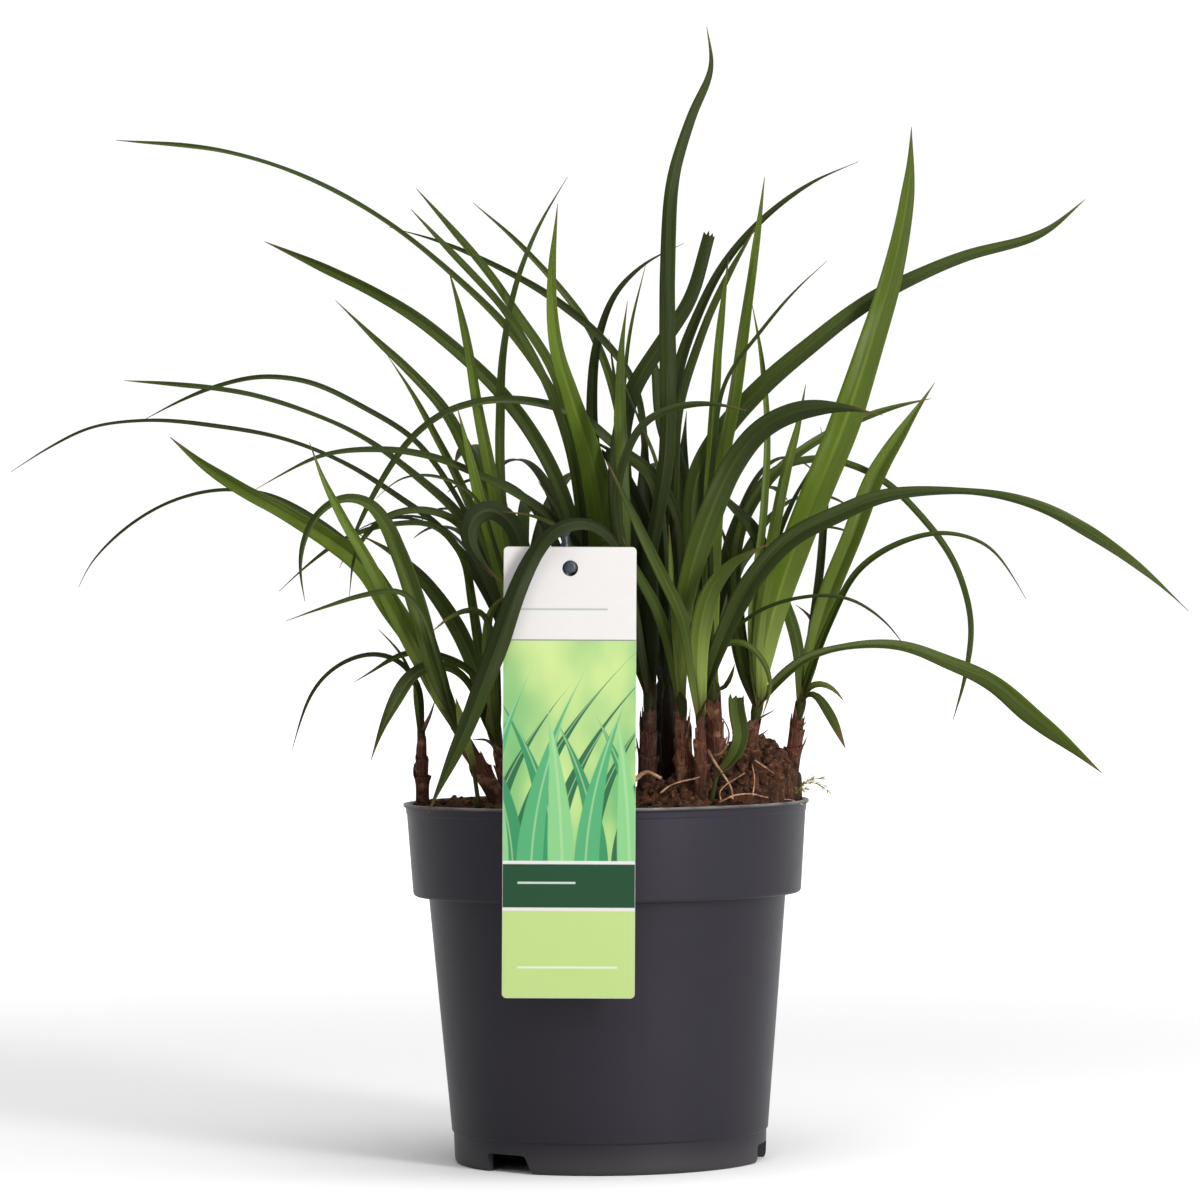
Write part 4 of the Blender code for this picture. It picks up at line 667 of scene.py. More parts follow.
class Nodes:
    """Short calls for the node tree of a material, or of the world."""

    def __init__(self, owner, shader="Principled BSDF"):
        owner.use_nodes = True
        self.owner = owner
        self.tree = owner.node_tree
        self.shader = self.tree.nodes[shader]
        self.place = self.add("TexCoord").outputs

    def add(self, kind, **values):
        """A new node with its settings."""
        node = self.tree.nodes.new("ShaderNode" + kind)
        for key, value in values.items():
            setattr(node, key, value)
        return node

    def put(self, socket, value):
        """Links a socket to another, or sets its number or colour."""
        if isinstance(value, bpy.types.NodeSocket):
            self.tree.links.new(value, socket)
        else:
            socket.default_value = (*value, 1.0) if isinstance(value, tuple) else value

    def feed(self, node, *values, **named):
        """Sets a node's inputs, in order or by name, and gives its first output."""
        for socket, value in zip(node.inputs, values):
            self.put(socket, value)
        for key, value in named.items():
            self.put(node.inputs[key.replace("_", " ")], value)
        return node.outputs[0]

    def set(self, **values):
        """Sets the shader's inputs by name, and gives what has the shader."""
        self.feed(self.shader, **values)
        return self.owner

    def attribute(self, name):
        """A value that the mesh keeps at its points."""
        return self.add("Attribute", attribute_name=name).outputs["Fac"]

    def math(self, operation, a, b=0.0):
        """A sum on one or two numbers."""
        return self.feed(self.add("Math", operation=operation), a, b)

    def times(self, a, b):
        """One number times another."""
        return self.math("MULTIPLY", a, b)

    def plus(self, a, b):
        """One number and another."""
        return self.math("ADD", a, b)

    def away(self, x, y):
        """How far x and y are from the middle."""
        return self.math("SQRT", self.plus(self.times(x, x), self.times(y, y)))

    def ramp(self, value, low, high, to_low=0.0, to_high=1.0):
        """A soft step from to_low to to_high as the value goes from low to high."""
        node = self.add("MapRange", interpolation_type="SMOOTHSTEP")
        return self.feed(node, value, low, high, to_low, to_high)

    def mix(self, factor, a, b):
        """Colour a, turned into colour b by the factor."""
        node = self.add("Mix", data_type="RGBA")
        for place, value in ((0, factor), (6, a), (7, b)):
            self.put(node.inputs[place], value)
        return node.outputs[2]

    def noise(self, scale, detail=3.0, rough=0.55, vector=None):
        """Cloudy noise over the piece, or over another vector."""
        return self.feed(self.add("TexNoise"), Scale=scale, Detail=detail, Roughness=rough,
            Vector=vector or self.place["Object"])

    def streaks(self, x, y, z=0.0, detail=2.0, rough=0.5):
        """Noise over three numbers, each already scaled."""
        return self.noise(1.0, detail, rough, self.feed(self.add("CombineXYZ"), x, y, z))

    def split(self, space="Object"):
        """The x, y and z of a place or a direction."""
        node = self.add("SeparateXYZ")
        self.put(node.inputs[0], self.place[space])
        return node.outputs

    def bump(self, height, strength, distance):
        """Relief, with its full height in millimetres."""
        self.set(Normal=self.feed(self.add("Bump"), Strength=strength, Distance=distance * MM,
            Height=height))


def material(name):
    """The nodes of a new material."""
    return Nodes(bpy.data.materials.new(name))


def inside(n, open_aside=OPEN_ASIDE, least=0.3):
    """How much light a thing gets in the clump, from its place: least to 1 outside."""
    x, y, z = n.split()
    light = n.math("MAXIMUM", n.ramp(n.away(x, y), *open_aside), n.ramp(z, *OPEN_ABOVE))
    return n.plus(least, n.times(1 - least, light))


def leaf_material():
    """Living leaf: veins run along it, it is limey at its foot, and light comes through."""
    n = material("sedge_leaf")
    across, along, aside, left, upper, seed, tone = (n.attribute(key) for key in
        ("across", "along", "aside", "left", "upper", "seed", "tone"))
    tone = n.math("POWER", tone, 1.5)
    wobble = n.streaks(n.times(across, 2.2), n.times(along, 0.03), seed)
    # Veins are as far apart on a narrow blade as on a wide one.
    fibre = n.streaks(n.times(aside, 1.25), n.times(along, 0.018), seed, 1.0)
    dark = n.mix(wobble, (0.008, 0.012, 0.003), (0.016, 0.023, 0.005))
    bright = n.mix(wobble, (0.108, 0.170, 0.011), (0.175, 0.260, 0.020))
    colour = n.mix(tone, dark, bright)
    streak = n.mix(tone, (0.022, 0.031, 0.009), (0.190, 0.260, 0.045))
    colour = n.mix(n.ramp(fibre, 0.42, 0.72, 0.0, 0.50), colour, streak)
    # One half of the blade is painted darker, as painted shade where its fold turns from the light,
    # and some stretches have a paler painted sheen, mostly on the other half.
    half = n.ramp(across, -0.15, 0.15)
    colour = n.mix(n.times(half, 0.42), colour, (0.006, 0.009, 0.002))
    # The sheen is painted light: a paler colour that stands in for light reflected off the blade.
    painted_sheen = n.streaks(n.times(across, 0.9), n.times(along, 0.012), n.plus(seed, 31.0))
    painted_sheen = n.times(n.ramp(painted_sheen, 0.53, 0.72), n.ramp(half, 0.0, 1.0, 0.55, 0.20))
    colour = n.mix(painted_sheen, colour, n.mix(tone, (0.036, 0.043, 0.024), (0.330, 0.390, 0.180)))
    off_rib = n.math("ABSOLUTE", across)
    rib = n.ramp(off_rib, 0.0, 0.16, 1.0, 0.0)
    colour = n.mix(n.times(rib, 0.65), colour, streak)
    colour = n.mix(n.ramp(off_rib, 0.86, 1.0, 0.0, 0.30), colour, streak)
    # The lower face is a little paler and greyer.
    lower = n.mix(tone, (0.020, 0.026, 0.012), (0.065, 0.090, 0.035))
    colour = n.mix(n.times(n.math("SUBTRACT", 1.0, upper), 0.20), colour, lower)
    # A thin dry tip, and the pale then brown foot.
    colour = n.mix(n.ramp(left, 2.0, 16.0, 0.65, 0.0), colour, (0.115, 0.070, 0.028))
    foot = n.times(n.ramp(along, 10.0, 70.0, 0.75, 0.0), n.ramp(tone, 0.2, 0.9))
    colour = n.mix(foot, colour, (0.27, 0.33, 0.080))
    colour = n.mix(n.ramp(along, 0.0, 13.0, 0.60, 0.0), colour, (0.075, 0.045, 0.020))
    # Painted shade: leaves deep in the clump are darkened towards black.
    colour = n.mix(inside(n), (0.002, 0.003, 0.001), colour)
    n.set(Base_Color=colour, Roughness=n.ramp(wobble, 0.3, 0.7, 0.44, 0.60), IOR=1.16,
        Specular_IOR_Level=0.5)
    n.bump(n.plus(n.times(fibre, 0.6), n.times(rib, -1.0)), 0.55, 0.35)
    glow = n.mix(n.ramp(tone, 0.0, 1.0, 0.03, 0.55), colour, (0.26, 0.38, 0.010))
    through = n.feed(n.add("BsdfTranslucent"), Color=glow)
    blend = n.feed(n.add("MixShader"), n.ramp(tone, 0.0, 1.0, 0.05, 0.42),
        n.shader.outputs[0], through)
    n.put(n.tree.nodes["Material Output"].inputs["Surface"], blend)
    return n.owner


def sheath_material():
    """Dry basal sheath: reddish brown fibres with pale streaks, darker low down."""
    n = material("brown_sheath")
    around, along = n.attribute("around"), n.attribute("along")
    fibre = n.streaks(n.times(around, 9.0), n.times(along, 0.10), 0.0, 4.0, 0.65)
    patch = n.noise(160.0, 3.0, 0.6)
    colour = n.mix(n.ramp(fibre, 0.38, 0.66), (0.024, 0.008, 0.005), (0.135, 0.050, 0.028))
    colour = n.mix(n.ramp(patch, 0.52, 0.68, 0.0, 0.45), colour, (0.36, 0.19, 0.11))
    colour = n.mix(n.ramp(along, 0.0, 12.0, 0.55, 0.0), colour, (0.018, 0.010, 0.007))
    # The upper end keeps some living green.
    living = n.times(n.ramp(along, 22.0, 42.0), n.ramp(patch, 0.40, 0.60, 0.0, 0.5))
    colour = n.mix(living, colour, (0.045, 0.050, 0.012))
    # Painted shade: sheaths deep in the clump are darkened towards black.
    colour = n.mix(inside(n, (0.036, 0.056), 0.12), (0.003, 0.002, 0.0015), colour)
    n.bump(fibre, 0.8, 0.7)
    return n.set(Base_Color=colour, Roughness=0.60, Specular_IOR_Level=0.08)


def soil_material(name, light):
    """Peat with coir: dark brown crumbs, redder fibre specks and pale grains."""
    n = material(name)
    big, fine = n.noise(70.0, 5.0, 0.65), n.noise(420.0, 4.0, 0.7)
    colour = n.mix(n.ramp(big, 0.36, 0.64), (0.012, 0.006, 0.004), (0.066, 0.028, 0.015))
    colour = n.mix(n.ramp(fine, 0.50, 0.72, 0.0, 0.7), colour, light)
    n.bump(n.plus(big, n.times(fine, 0.6)), 0.9, 1.6)
    return n.set(Base_Color=colour, Roughness=0.95, Specular_IOR_Level=0.08)


def fibre_material(name, low, high):
    """Dead or fuzzy strands, mottled between two colours."""
    n = material(name)
    mottle = n.noise(260.0, 4.0, 0.6)
    n.bump(mottle, 0.6, 0.5)
    return n.set(Base_Color=n.mix(n.ramp(mottle, 0.35, 0.68), low, high), Roughness=0.85,
        Specular_IOR_Level=0.2)


def pot_material():
    """Moulded pot: matt anthracite, fine grain, faint scuffs, a worn lip with painted highlight."""
    n = material("pot_plastic")
    x, y, z = n.split()
    grain = n.noise(2600.0, 2.0, 0.5)
    cloud = n.noise(16.0, 4.0, 0.6)
    scuff = n.streaks(n.times(x, 60.0), n.times(y, 60.0), n.times(z, 420.0), 5.0, 0.7)
    colour = n.mix(cloud, (0.0152, 0.0135, 0.0184), (0.0206, 0.0185, 0.0250))
    scratch = n.times(n.ramp(scuff, 0.66, 0.80), n.ramp(cloud, 0.48, 0.66))
    colour = n.mix(n.times(scratch, 0.30), colour, (0.13, 0.13, 0.135))
    # The lip is painted paler in places: partly wear, partly a painted highlight where its edge
    # catches the light.
    lip_wear_and_highlight = n.times(n.ramp(z, 0.1664, 0.1679), n.ramp(scuff, 0.30, 0.70, 0.15, 0.75))
    colour = n.mix(lip_wear_and_highlight, colour, (0.24, 0.235, 0.20))
    # The foot is paler towards the bottom.
    colour = n.mix(n.ramp(z, 0.002, 0.016, 0.30, 0.0), colour, (0.075, 0.070, 0.066))
    rough = n.plus(n.ramp(cloud, 0.3, 0.7, 0.38, 0.44), n.times(scratch, 0.2))
    n.bump(n.plus(grain, n.times(scuff, 0.5)), 0.10, 0.25)
    return n.set(Base_Color=colour, Roughness=rough, IOR=1.22, Specular_IOR_Level=0.5)


def stake_material():
    """Moulded stake: dark blue-grey plastic, a little uneven."""
    n = material("stake_plastic")
    cloud = n.noise(90.0, 3.0, 0.6)
    n.bump(n.noise(700.0, 2.0), 0.12, 0.2)
    return n.set(Base_Color=n.mix(cloud, (0.012, 0.019, 0.028), (0.030, 0.040, 0.052)),
        Roughness=n.ramp(cloud, 0.3, 0.7, 0.32, 0.46), Specular_IOR_Level=0.5)


def band(n, value, low, high, soft=0.25):
    """1 between low and high, 0 outside, with a hair's soft edge; all in millimetres."""
    low, high, soft = low * MM, high * MM, soft * MM
    return n.times(n.ramp(value, low - soft, low + soft),
        n.ramp(value, high - soft, high + soft, 1.0, 0.0))


# The leaves of the label's pattern, from the back: slope, shift, pitch, how much of their
# pitch is bare at their foot, and colour.
PATTERN = [
    (-0.55, 0.5, 66.0, 0.70, (0.020, 0.13, 0.05)),
    (0.42, 0.3, 52.0, 0.74, (0.035, 0.25, 0.10)),
    (-0.30, 0.7, 41.0, 0.80, (0.075, 0.36, 0.15)),
    (0.12, 0.1, 33.0, 0.86, (0.22, 0.52, 0.21)),
]


def pattern(n, x, y, top):
    """Out-of-focus greens crossed by broad slanting leaves."""
    haze = n.streaks(n.times(x, 34.0), n.times(y, 17.0), 3.7)
    picture = n.mix(n.ramp(haze, 0.34, 0.66), (0.09, 0.38, 0.13), (0.50, 0.66, 0.24))
    height = n.ramp(y, top - 0.141, top - 0.041, 0.0, 0.35)
    picture = n.mix(height, picture, (0.58, 0.68, 0.28))
    for slope, shift, pitch, bare, paint in PATTERN:
        bend = n.times(n.math("POWER", n.math("SUBTRACT", y, top - 0.150), 2.0), slope * 9)
        lane = n.plus(n.times(n.plus(x, bend), pitch), shift)
        wave = n.math("ABSOLUTE", n.math("SUBTRACT", n.math("FRACT", lane), 0.5))
        # Each leaf narrows upward and ends at a height of its own.
        own = n.times(n.streaks(n.math("FLOOR", lane), shift, 0.0, 0.0), 0.55)
        stop = n.math("SUBTRACT", n.ramp(y, top - 0.140, top - 0.048, bare, 1.35), own)
        mask = n.ramp(n.times(wave, 2.0), stop, n.plus(stop, 0.05))
        rib = n.ramp(wave, 0.470, 0.492, 0.0, 0.5)
        picture = n.mix(mask, picture, n.mix(rib, paint, (0.42, 0.62, 0.32)))
    return picture


def label_material():
    """Print on card: a pale head, a soft green leaf pattern, a dark band and a light foot."""
    n = material("printed_card")
    x, y, _ = n.split()
    # y runs up the card from its middle, in metres, and print is placed down from its top.
    top = LABEL_SIZE[1] / 2
    pale = (0.69, 0.665, 0.655)
    colour = n.mix(n.noise(240.0, 2.0), (0.67, 0.645, 0.635), (0.70, 0.675, 0.665))
    bands = [
        (41.6, 42.2, (0.16, 0.20, 0.16)),
        (42.2, 141.2, pattern(n, x, y, top * MM)),
        (141.2, 142.6, pale),
        (142.6, 162.2, (0.008, 0.058, 0.021)),
        (162.2, 163.6, pale),
        (163.6, 202.8, (0.455, 0.600, 0.215)),
    ]
    for start, stop, paint in bands:
        colour = n.mix(band(n, y, top - stop, top - start), colour, paint)
    # Plain rules stand where a label has its lines of print.
    for down, left, right, paint in (
            (28.0, -24.0, 17.0, (0.42, 0.45, 0.42)), (151.0, -23.0, 3.0, (0.55, 0.60, 0.55)),
            (189.0, -23.0, 22.0, (0.66, 0.72, 0.55))):
        line = n.times(band(n, y, top - down - 0.45, top - down + 0.45),
            band(n, x, left, right))
        colour = n.mix(line, colour, paint)
    # The cut edge of the card is bare, and all of it is painted darker, as painted shade over the
    # whole card.
    print_area = n.times(band(n, x, -29.7, 29.7, 0.1), band(n, y, top - 202.7, top - 0.1, 0.1))
    colour = n.mix(print_area, (0.50, 0.49, 0.46), colour)
    colour = n.mix(0.31, colour, (0.0, 0.0, 0.0))
    n.bump(n.noise(900.0, 2.0), 0.05, 0.1)
    return n.set(Base_Color=colour, Roughness=0.36, Specular_IOR_Level=0.22)


# Leaves: fine blades on the same lines as the solids.

SECTION = np.array([-1, -0.74, -0.48, -0.2, -0.07, 0.07, 0.2, 0.48, 0.74, 1])


def blade_arrays(blade, tone, seed, first):
    """Points, faces and values of one fine blade: two faces, a rounded fold and a channel."""
    whole = np.column_stack([blade.middle(), blade.across(), blade.along])
    count = max(8, round(blade.along[-1] / FINE_STEP))
    at = np.linspace(0, blade.along[-1], count)
    at[1:4] = at[1:4] * [0.5, 0.7, 0.9]
    fine = np.column_stack([np.interp(at, blade.along, column) for column in whole.T])
    for _ in range(3):
        fine[1:-1, :6] = (fine[:-2, :6] + 2 * fine[1:-1, :6] + fine[2:, :6]) / 4
    middle, across, along = fine[:, :3], fine[:, 3:6], fine[:, 6]
    run = np.gradient(middle, axis=0)
    face = np.cross(across, run)
    face /= np.maximum(np.linalg.norm(face, axis=1)[:, None], 1e-9)
    if face[:, 2].mean() < 0:
        face = -face
    half = np.linalg.norm(across, axis=1)
    torn = half[0] > TORN_HALF
    u = SECTION
    # A slow ripple down the blade and a shallow shoulder each side of the channel.
    ripple = 0.05 * np.sin(along / 17 + seed)[:, None] * np.sign(u)[None]
    lift = (FOLD * np.sqrt(u**2 + 0.01) + 0.07 * np.sin(np.abs(u) * math.pi))[None] + ripple
    thick = (EDGE_THICK + (RIB_THICK - EDGE_THICK) * (1 - np.abs(u)) ** 1.5)[None]
    thick = thick * np.minimum(1, 0.35 + half / 2.5)[:, None]
    raised = (middle[:, None] + across[:, None] * u[None, :, None]
        + face[:, None] * half[:, None, None] * lift[:, :, None])
    upper = raised + face[:, None] * thick[:, :, None] / 2
    lower = raised - face[:, None] * thick[:, :, None] / 2
    if torn:
        # A torn end, ragged across the blade.
        ragged = 2.2 * np.abs(np.sin(u * 4.0 + seed)) + 0.8 * np.sin(u * 11.0)
        outward = ragged[:, None] * run[0] / np.linalg.norm(run[0])
        upper[0] += outward
        lower[0] += outward
    ring = np.concatenate([upper, lower[:, ::-1]], axis=1)
    wide = ring.shape[1]
    faces = ring_faces(count, wide, first)
    for row, flip in ((0, False), (count - 1, True)):
        start = first + row * wide
        for c in range(len(u) - 1):
            quad = (start + c, start + c + 1, start + wide - 2 - c, start + wide - 1 - c)
            faces.append(quad if flip else quad[::-1])
    round_ring = np.concatenate([u, u[::-1]])
    values = {
        "across": np.tile(round_ring, count),
        "aside": (half[:, None] * round_ring[None]).ravel(),
        "along": np.repeat(blade.along[-1] - along, wide),
        # A torn end isn't dry, so it counts as further from the tip.
        "left": np.repeat(along + (40.0 if torn else 0.0), wide),
        "tone": np.repeat(spread(np.atleast_1d(tone), count), wide),
        "seed": np.full(count * wide, seed),
        "upper": np.tile(np.repeat([1.0, 0.0], len(u)), count),
    }
    return ring.reshape(-1, 3), faces, values


def tube(path, radii, sides, first=0):
    """A closed tube along a path, with its rings square to it."""
    path = np.asarray(path, float)
    run = np.gradient(path, axis=0)
    run /= np.linalg.norm(run, axis=1)[:, None]
    lead = [0.0, 1.0, 0.0] if abs(run[0][1]) < 0.8 else [1.0, 0.0, 0.0]
    side = np.cross(run, lead)
    side /= np.linalg.norm(side, axis=1)[:, None]
    other = np.cross(run, side)
    turn = ring_turn(sides)
    ring = (side[:, None] * np.cos(turn)[None, :, None]
        + other[:, None] * np.sin(turn)[None, :, None])
    points = path[:, None] + ring * np.asarray(radii, float)[:, None, None]
    return points.reshape(-1, 3), tube_faces(len(path), sides, first)


def shoot_frame(name):
    """A shoot's foot in the soil, its crown, and the way that it leans."""
    (x, depth, z), crown, _, _ = SHOOTS[name]
    seen = np.array([[x, z], crown], float)
    foot, head = seen_to_real(seen[:, 0], np.full(2, float(depth)), seen[:, 1])
    return foot, head, (head - foot) / np.linalg.norm(head - foot)


def shoot_leaves(name, blades, tones, seeds, mat):
    """All blades of one shoot, with the crown that they grow from, as one piece."""
    points, faces, values = [], [], {}
    first = 0
    for blade, tone, seed in zip(blades, tones, seeds):
        p, f, v = blade_arrays(blade, tone, seed, first)
        first += len(p)
        points.append(p)
        faces += f
        for key, numbers in v.items():
            values.setdefault(key, []).append(numbers)
    foot, head, lean = shoot_frame(name)
    _, _, width, top = SHOOTS[name]
    if top:
        rise = np.linalg.norm(head - foot)
        path = [foot + lean * h for h in (rise * 0.5, rise * 0.78, rise * 0.9, rise, rise + 9)]
        radii = [width / 2 - 1.3, width / 2 - 1.1, width / 2 - 0.4, width / 2 - 0.3, 0.8]
    else:
        path = [foot - lean * 8, foot, (foot + head) / 2, head, head + lean]
        radii = [width * 0.3, width * 0.3, width * 0.275, width * 0.25, 0.5]
    p, f = tube(path, radii, 10, first)
    points.append(p)
    faces += f
    crown = {"across": 0.5, "aside": 1.0, "along": 9.0, "left": 99.0, "tone": 0.25, "seed": 0.0,
        "upper": 1.0}
    values = {key: np.append(np.concatenate(values[key]), np.full(len(p), number))
        for key, number in crown.items()}
    node = name + "_leaves" if top else name
    mesh = point_mesh("fine_" + node, np.concatenate(points), faces, values)
    piece("fine_" + node, mesh, mat, node)


def make_sheath(name, mat, draw):
    """A brown sheath: overlapping dry layers, each split and ragged at its top."""
    foot, head, lean = shoot_frame(name)
    (_, _, z), crown, width, top = SHOOTS[name]
    long = np.linalg.norm(head - foot) * (top - z) / (crown[1] - z) + 3.0
    side = np.cross(lean, [0.0, 1.0, 0.0])
    side /= np.linalg.norm(side)
    front = np.cross(side, lean)
    turn = ring_turn(SHEATH_SIDES)
    # Each layer rises on its outer face and comes down again on its inner face.
    t = np.linspace(0, 1, SHEATH_ROWS)
    t = np.append(t, t[::-1])[:, None]
    wall = np.repeat([0.0, SHEATH_WALL], SHEATH_ROWS)[:, None]
    points, faces, along = [], [], []
    for layer, (share, peak) in enumerate(SHEATH_LAYERS):
        start = draw.uniform(0, math.tau)
        reach = long * share * draw.uniform(0.92, 1.05)
        # The lip rises to a point on one side and is torn in between.
        lip = (1 + peak * np.maximum(0, np.cos(turn - start)) ** 3
            + 0.04 * np.sin(turn * 5 + start * 3) + 0.02 * np.sin(turn * 9 + start))
        up = (reach * lip + SHEATH_SUNK) * t - SHEATH_SUNK
        out = (width / 2 + 0.4 + 0.45 * layer - 0.5 * t - wall
            + 0.30 * np.sin(turn * 4 + layer + t * 3) + 0.9 * t**6 * layer
            + 0.8 * np.exp(-((t - 0.12) / 0.14) ** 2))
        ring = (foot + lean * up[..., None] + side * (out * np.cos(turn))[..., None]
            + front * (out * np.sin(turn))[..., None])
        faces += tube_faces(len(t), SHEATH_SIDES, layer * up.size)
        points.append(ring.reshape(-1, 3))
        along.append(np.maximum(up, 0).ravel())
    along = np.concatenate(along)
    around = np.tile(turn / math.tau * 6, len(along) // SHEATH_SIDES)
    node = name + "_sheath"
    mesh = point_mesh("fine_" + node, np.concatenate(points), faces,
        {"around": around, "along": along})
    piece("fine_" + node, mesh, mat, node)


# Soil.

def value_noise(x, y, size, seed):
    """Smooth random heights from 0 to 1, one for each square of the given size."""
    table = np.random.default_rng(seed).random((64, 64))
    gx, gy = x / size + 400, y / size + 400
    ix, iy = np.floor(gx).astype(int), np.floor(gy).astype(int)
    fx, fy = gx - ix, gy - iy
    fx, fy = fx * fx * (3 - 2 * fx), fy * fy * (3 - 2 * fy)
    low, high = (table[ix % 64, row % 64] * (1 - fx) + table[(ix + 1) % 64, row % 64] * fx
        for row in (iy, iy + 1))
    return low * (1 - fy) + high * fy


def soil_height(x, y):
    """The soil's surface: its level, the mounds and crumbs of three sizes."""
    radius = np.hypot(x, y)
    height = SOIL_LEVEL - 1.2 + 0 * x
    for cx, cy, rise, wide in MOUNDS:
        height = height + rise * np.exp(
            -((x - cx) ** 2 + (y - cy) ** 2) / (2 * (wide / 1.5) ** 2))
    fade = np.clip((92.5 - radius) / 8.0, 0.15, 1)
    crumb = np.sin(x * 0.31 + 1.3) * np.cos(y * 0.27) + np.sin(x * 0.83 - y * 0.61) * 0.6
    for size, amount, seed in ((8.0, 2.6, 1), (3.6, 2.2, 2), (1.7, 1.1, 3)):
        crumb = crumb + (value_noise(x, y, size, seed) - 0.5) * amount
    return height + crumb * fade


def ground(x, y):
    """The soil's height at one place."""
    return float(soil_height(np.array(x), np.array(y)))


def strewn(draw, heaped, mounds, scatter, span):
    """A place on one of the mounds, or anywhere on the soil."""
    if heaped:
        x, y, _, wide = MOUNDS[draw.choice(mounds)]
        return draw.gauss(x, wide * scatter), draw.gauss(y, wide * scatter)
    radius, turn = span * math.sqrt(draw.random()), draw.uniform(0, math.tau)
    return radius * math.cos(turn), radius * math.sin(turn)


def make_soil(mat):
    """The soil: its uneven top, down the wall of the pot, and its flat underside."""
    edge = COLLAR_TOP[0] - WALL - 0.5
    radii = np.append(np.linspace(0, 1, SOIL_RINGS)[1:] ** 0.62 * edge, edge)
    turn = ring_turn(SOIL_SIDES)
    x = radii[:, None] * np.cos(turn)[None]
    y = radii[:, None] * np.sin(turn)[None]
    z = soil_height(x, y)
    z[-1] = SOIL_LEVEL - 8
    walls = [(90.6, 140.0), (89.0, 126.8), (81.0, 126.8), (71.0, 10.4), (0.5, 10.4)]
    points = np.concatenate([np.stack([x, y, z], axis=-1).reshape(-1, 3)]
        + [np.stack([r * np.cos(turn), r * np.sin(turn), np.full(SOIL_SIDES, h)], axis=-1)
            for r, h in walls] + [[[0.0, 0.0, ground(0.0, 0.0)]]])
    rings = len(radii) + len(walls)
    faces = [face[::-1] for face in ring_faces(rings, SOIL_SIDES)]
    middle = len(points) - 1
    faces += [(middle, c, (c + 1) % SOIL_SIDES) for c in range(SOIL_SIDES)]
    faces.append(tuple(range((rings - 1) * SOIL_SIDES, rings * SOIL_SIDES))[::-1])
    piece("fine_soil", point_mesh("fine_soil", points, faces), mat, "soil")


def make_crumbs(mat, draw):
    """Loose crumbs of peat, more of them on the mound."""
    bm = bmesh.new()
    for n in range(CRUMBS):
        heaped = n % 3 > 0
        x, y = strewn(draw, heaped, (0, 0, 1, 2), 0.62, CRUMB_SPAN)
        if math.hypot(x, y) > CRUMB_LIMIT:
            continue
        size = draw.uniform(0.7, 2.3) * (1.25 if heaped else 0.8)
        place = Vector((x, y, ground(x, y) + size * 0.25)) * MM
        lump = bmesh.ops.create_icosphere(bm, subdivisions=2, radius=size * MM)["verts"]
        stretch = [draw.uniform(0.7, 1.3) for _ in range(3)]
        turn = Matrix.Rotation(draw.uniform(0, math.tau), 3,
            Vector((draw.random(), draw.random(), 1)).normalized())
        for v in lump:
            v.co *= 1 + draw.uniform(-0.16, 0.16)
            v.co = turn @ Vector(c * s for c, s in zip(v.co, stretch)) + place
    piece("peat_crumbs", bm_mesh("peat_crumbs", bm), mat)


def strands(name, paths, mat, sides):
    """Several tubes as one piece: each path has its points and its thickness at each end."""
    points, faces, first = [], [], 0
    for path, thick, thin in paths:
        line = smooth_curve(path, 1.6)
        p, f = tube(line, np.linspace(thick, thin, len(line)) / 2, sides, first)
        first += len(p)
        points.append(p)
        faces += f
    piece(name, point_mesh(name, np.concatenate(points), faces), mat)


def coir_fibres(draw):
    """Short bent fibres that lie on the soil and stand out of the mound."""
    paths = []
    for n in range(FIBRES):
        x, y = strewn(draw, n % 4 > 0, (0, 1, 2), 0.6, FIBRE_SPAN)
        turn, long = draw.uniform(0, math.tau), draw.uniform(3, 9)
        if math.hypot(x, y) + long > FIBRE_LIMIT:
            continue
        path = []
        for k in range(4):
            px = x + math.cos(turn) * long * k / 3
            py = y + math.sin(turn) * long * k / 3
            turn += draw.uniform(-0.5, 0.5)
            lift = draw.uniform(0, 1.1) * (k % 2 + (k == 3))
            path.append((px, py, ground(px, py) + 0.2 + lift))
        paths.append((path, draw.uniform(0.25, 0.5), 0.16))
    return paths


def seen_paths(rows):
    """Paths read from the front, each laid at its own depths."""
    paths = []
    for points, depths, thick, thin in rows:
        x, z = np.array(points, float).T
        paths.append((seen_to_real(x, spread(depths, len(x)), z), thick, thin))
    return paths


# Bare roots at the right, as seen from the front, with their depths and thicknesses.
ROOTS = [
    ([(53, 166.5), (60.7, 169.8), (66, 170.3), (73.3, 169), (80, 167.6), (86.7, 167.2),
        (93, 164.5)], (-78, -72, -46, -28), 0.8, 0.45),
    ([(54, 167), (53.3, 171), (56.7, 175), (61, 177.5), (65, 180)], (-76, -70, -64), 0.7, 0.4),
    ([(68.7, 169), (69.7, 177.5), (68.7, 184)], (-60, -54), 0.7, 0.4),
    ([(48, 191), (51.3, 185), (55.3, 179), (58.7, 173), (59.3, 168)], (-56, -66, -74), 1.5, 0.8),
    ([(25.3, 171), (30, 174.5), (35.3, 176.5), (40.7, 177.5), (44, 178.5)], (-72, -68), 0.9, 0.5),
    ([(70, 186), (77, 181), (84, 175), (90, 170.5)], (-54, -42, -22), 0.8, 0.4),
    ([(13, 177), (19, 181), (26, 178)], (-66, -62, -64), 2.2, 1.6),
]

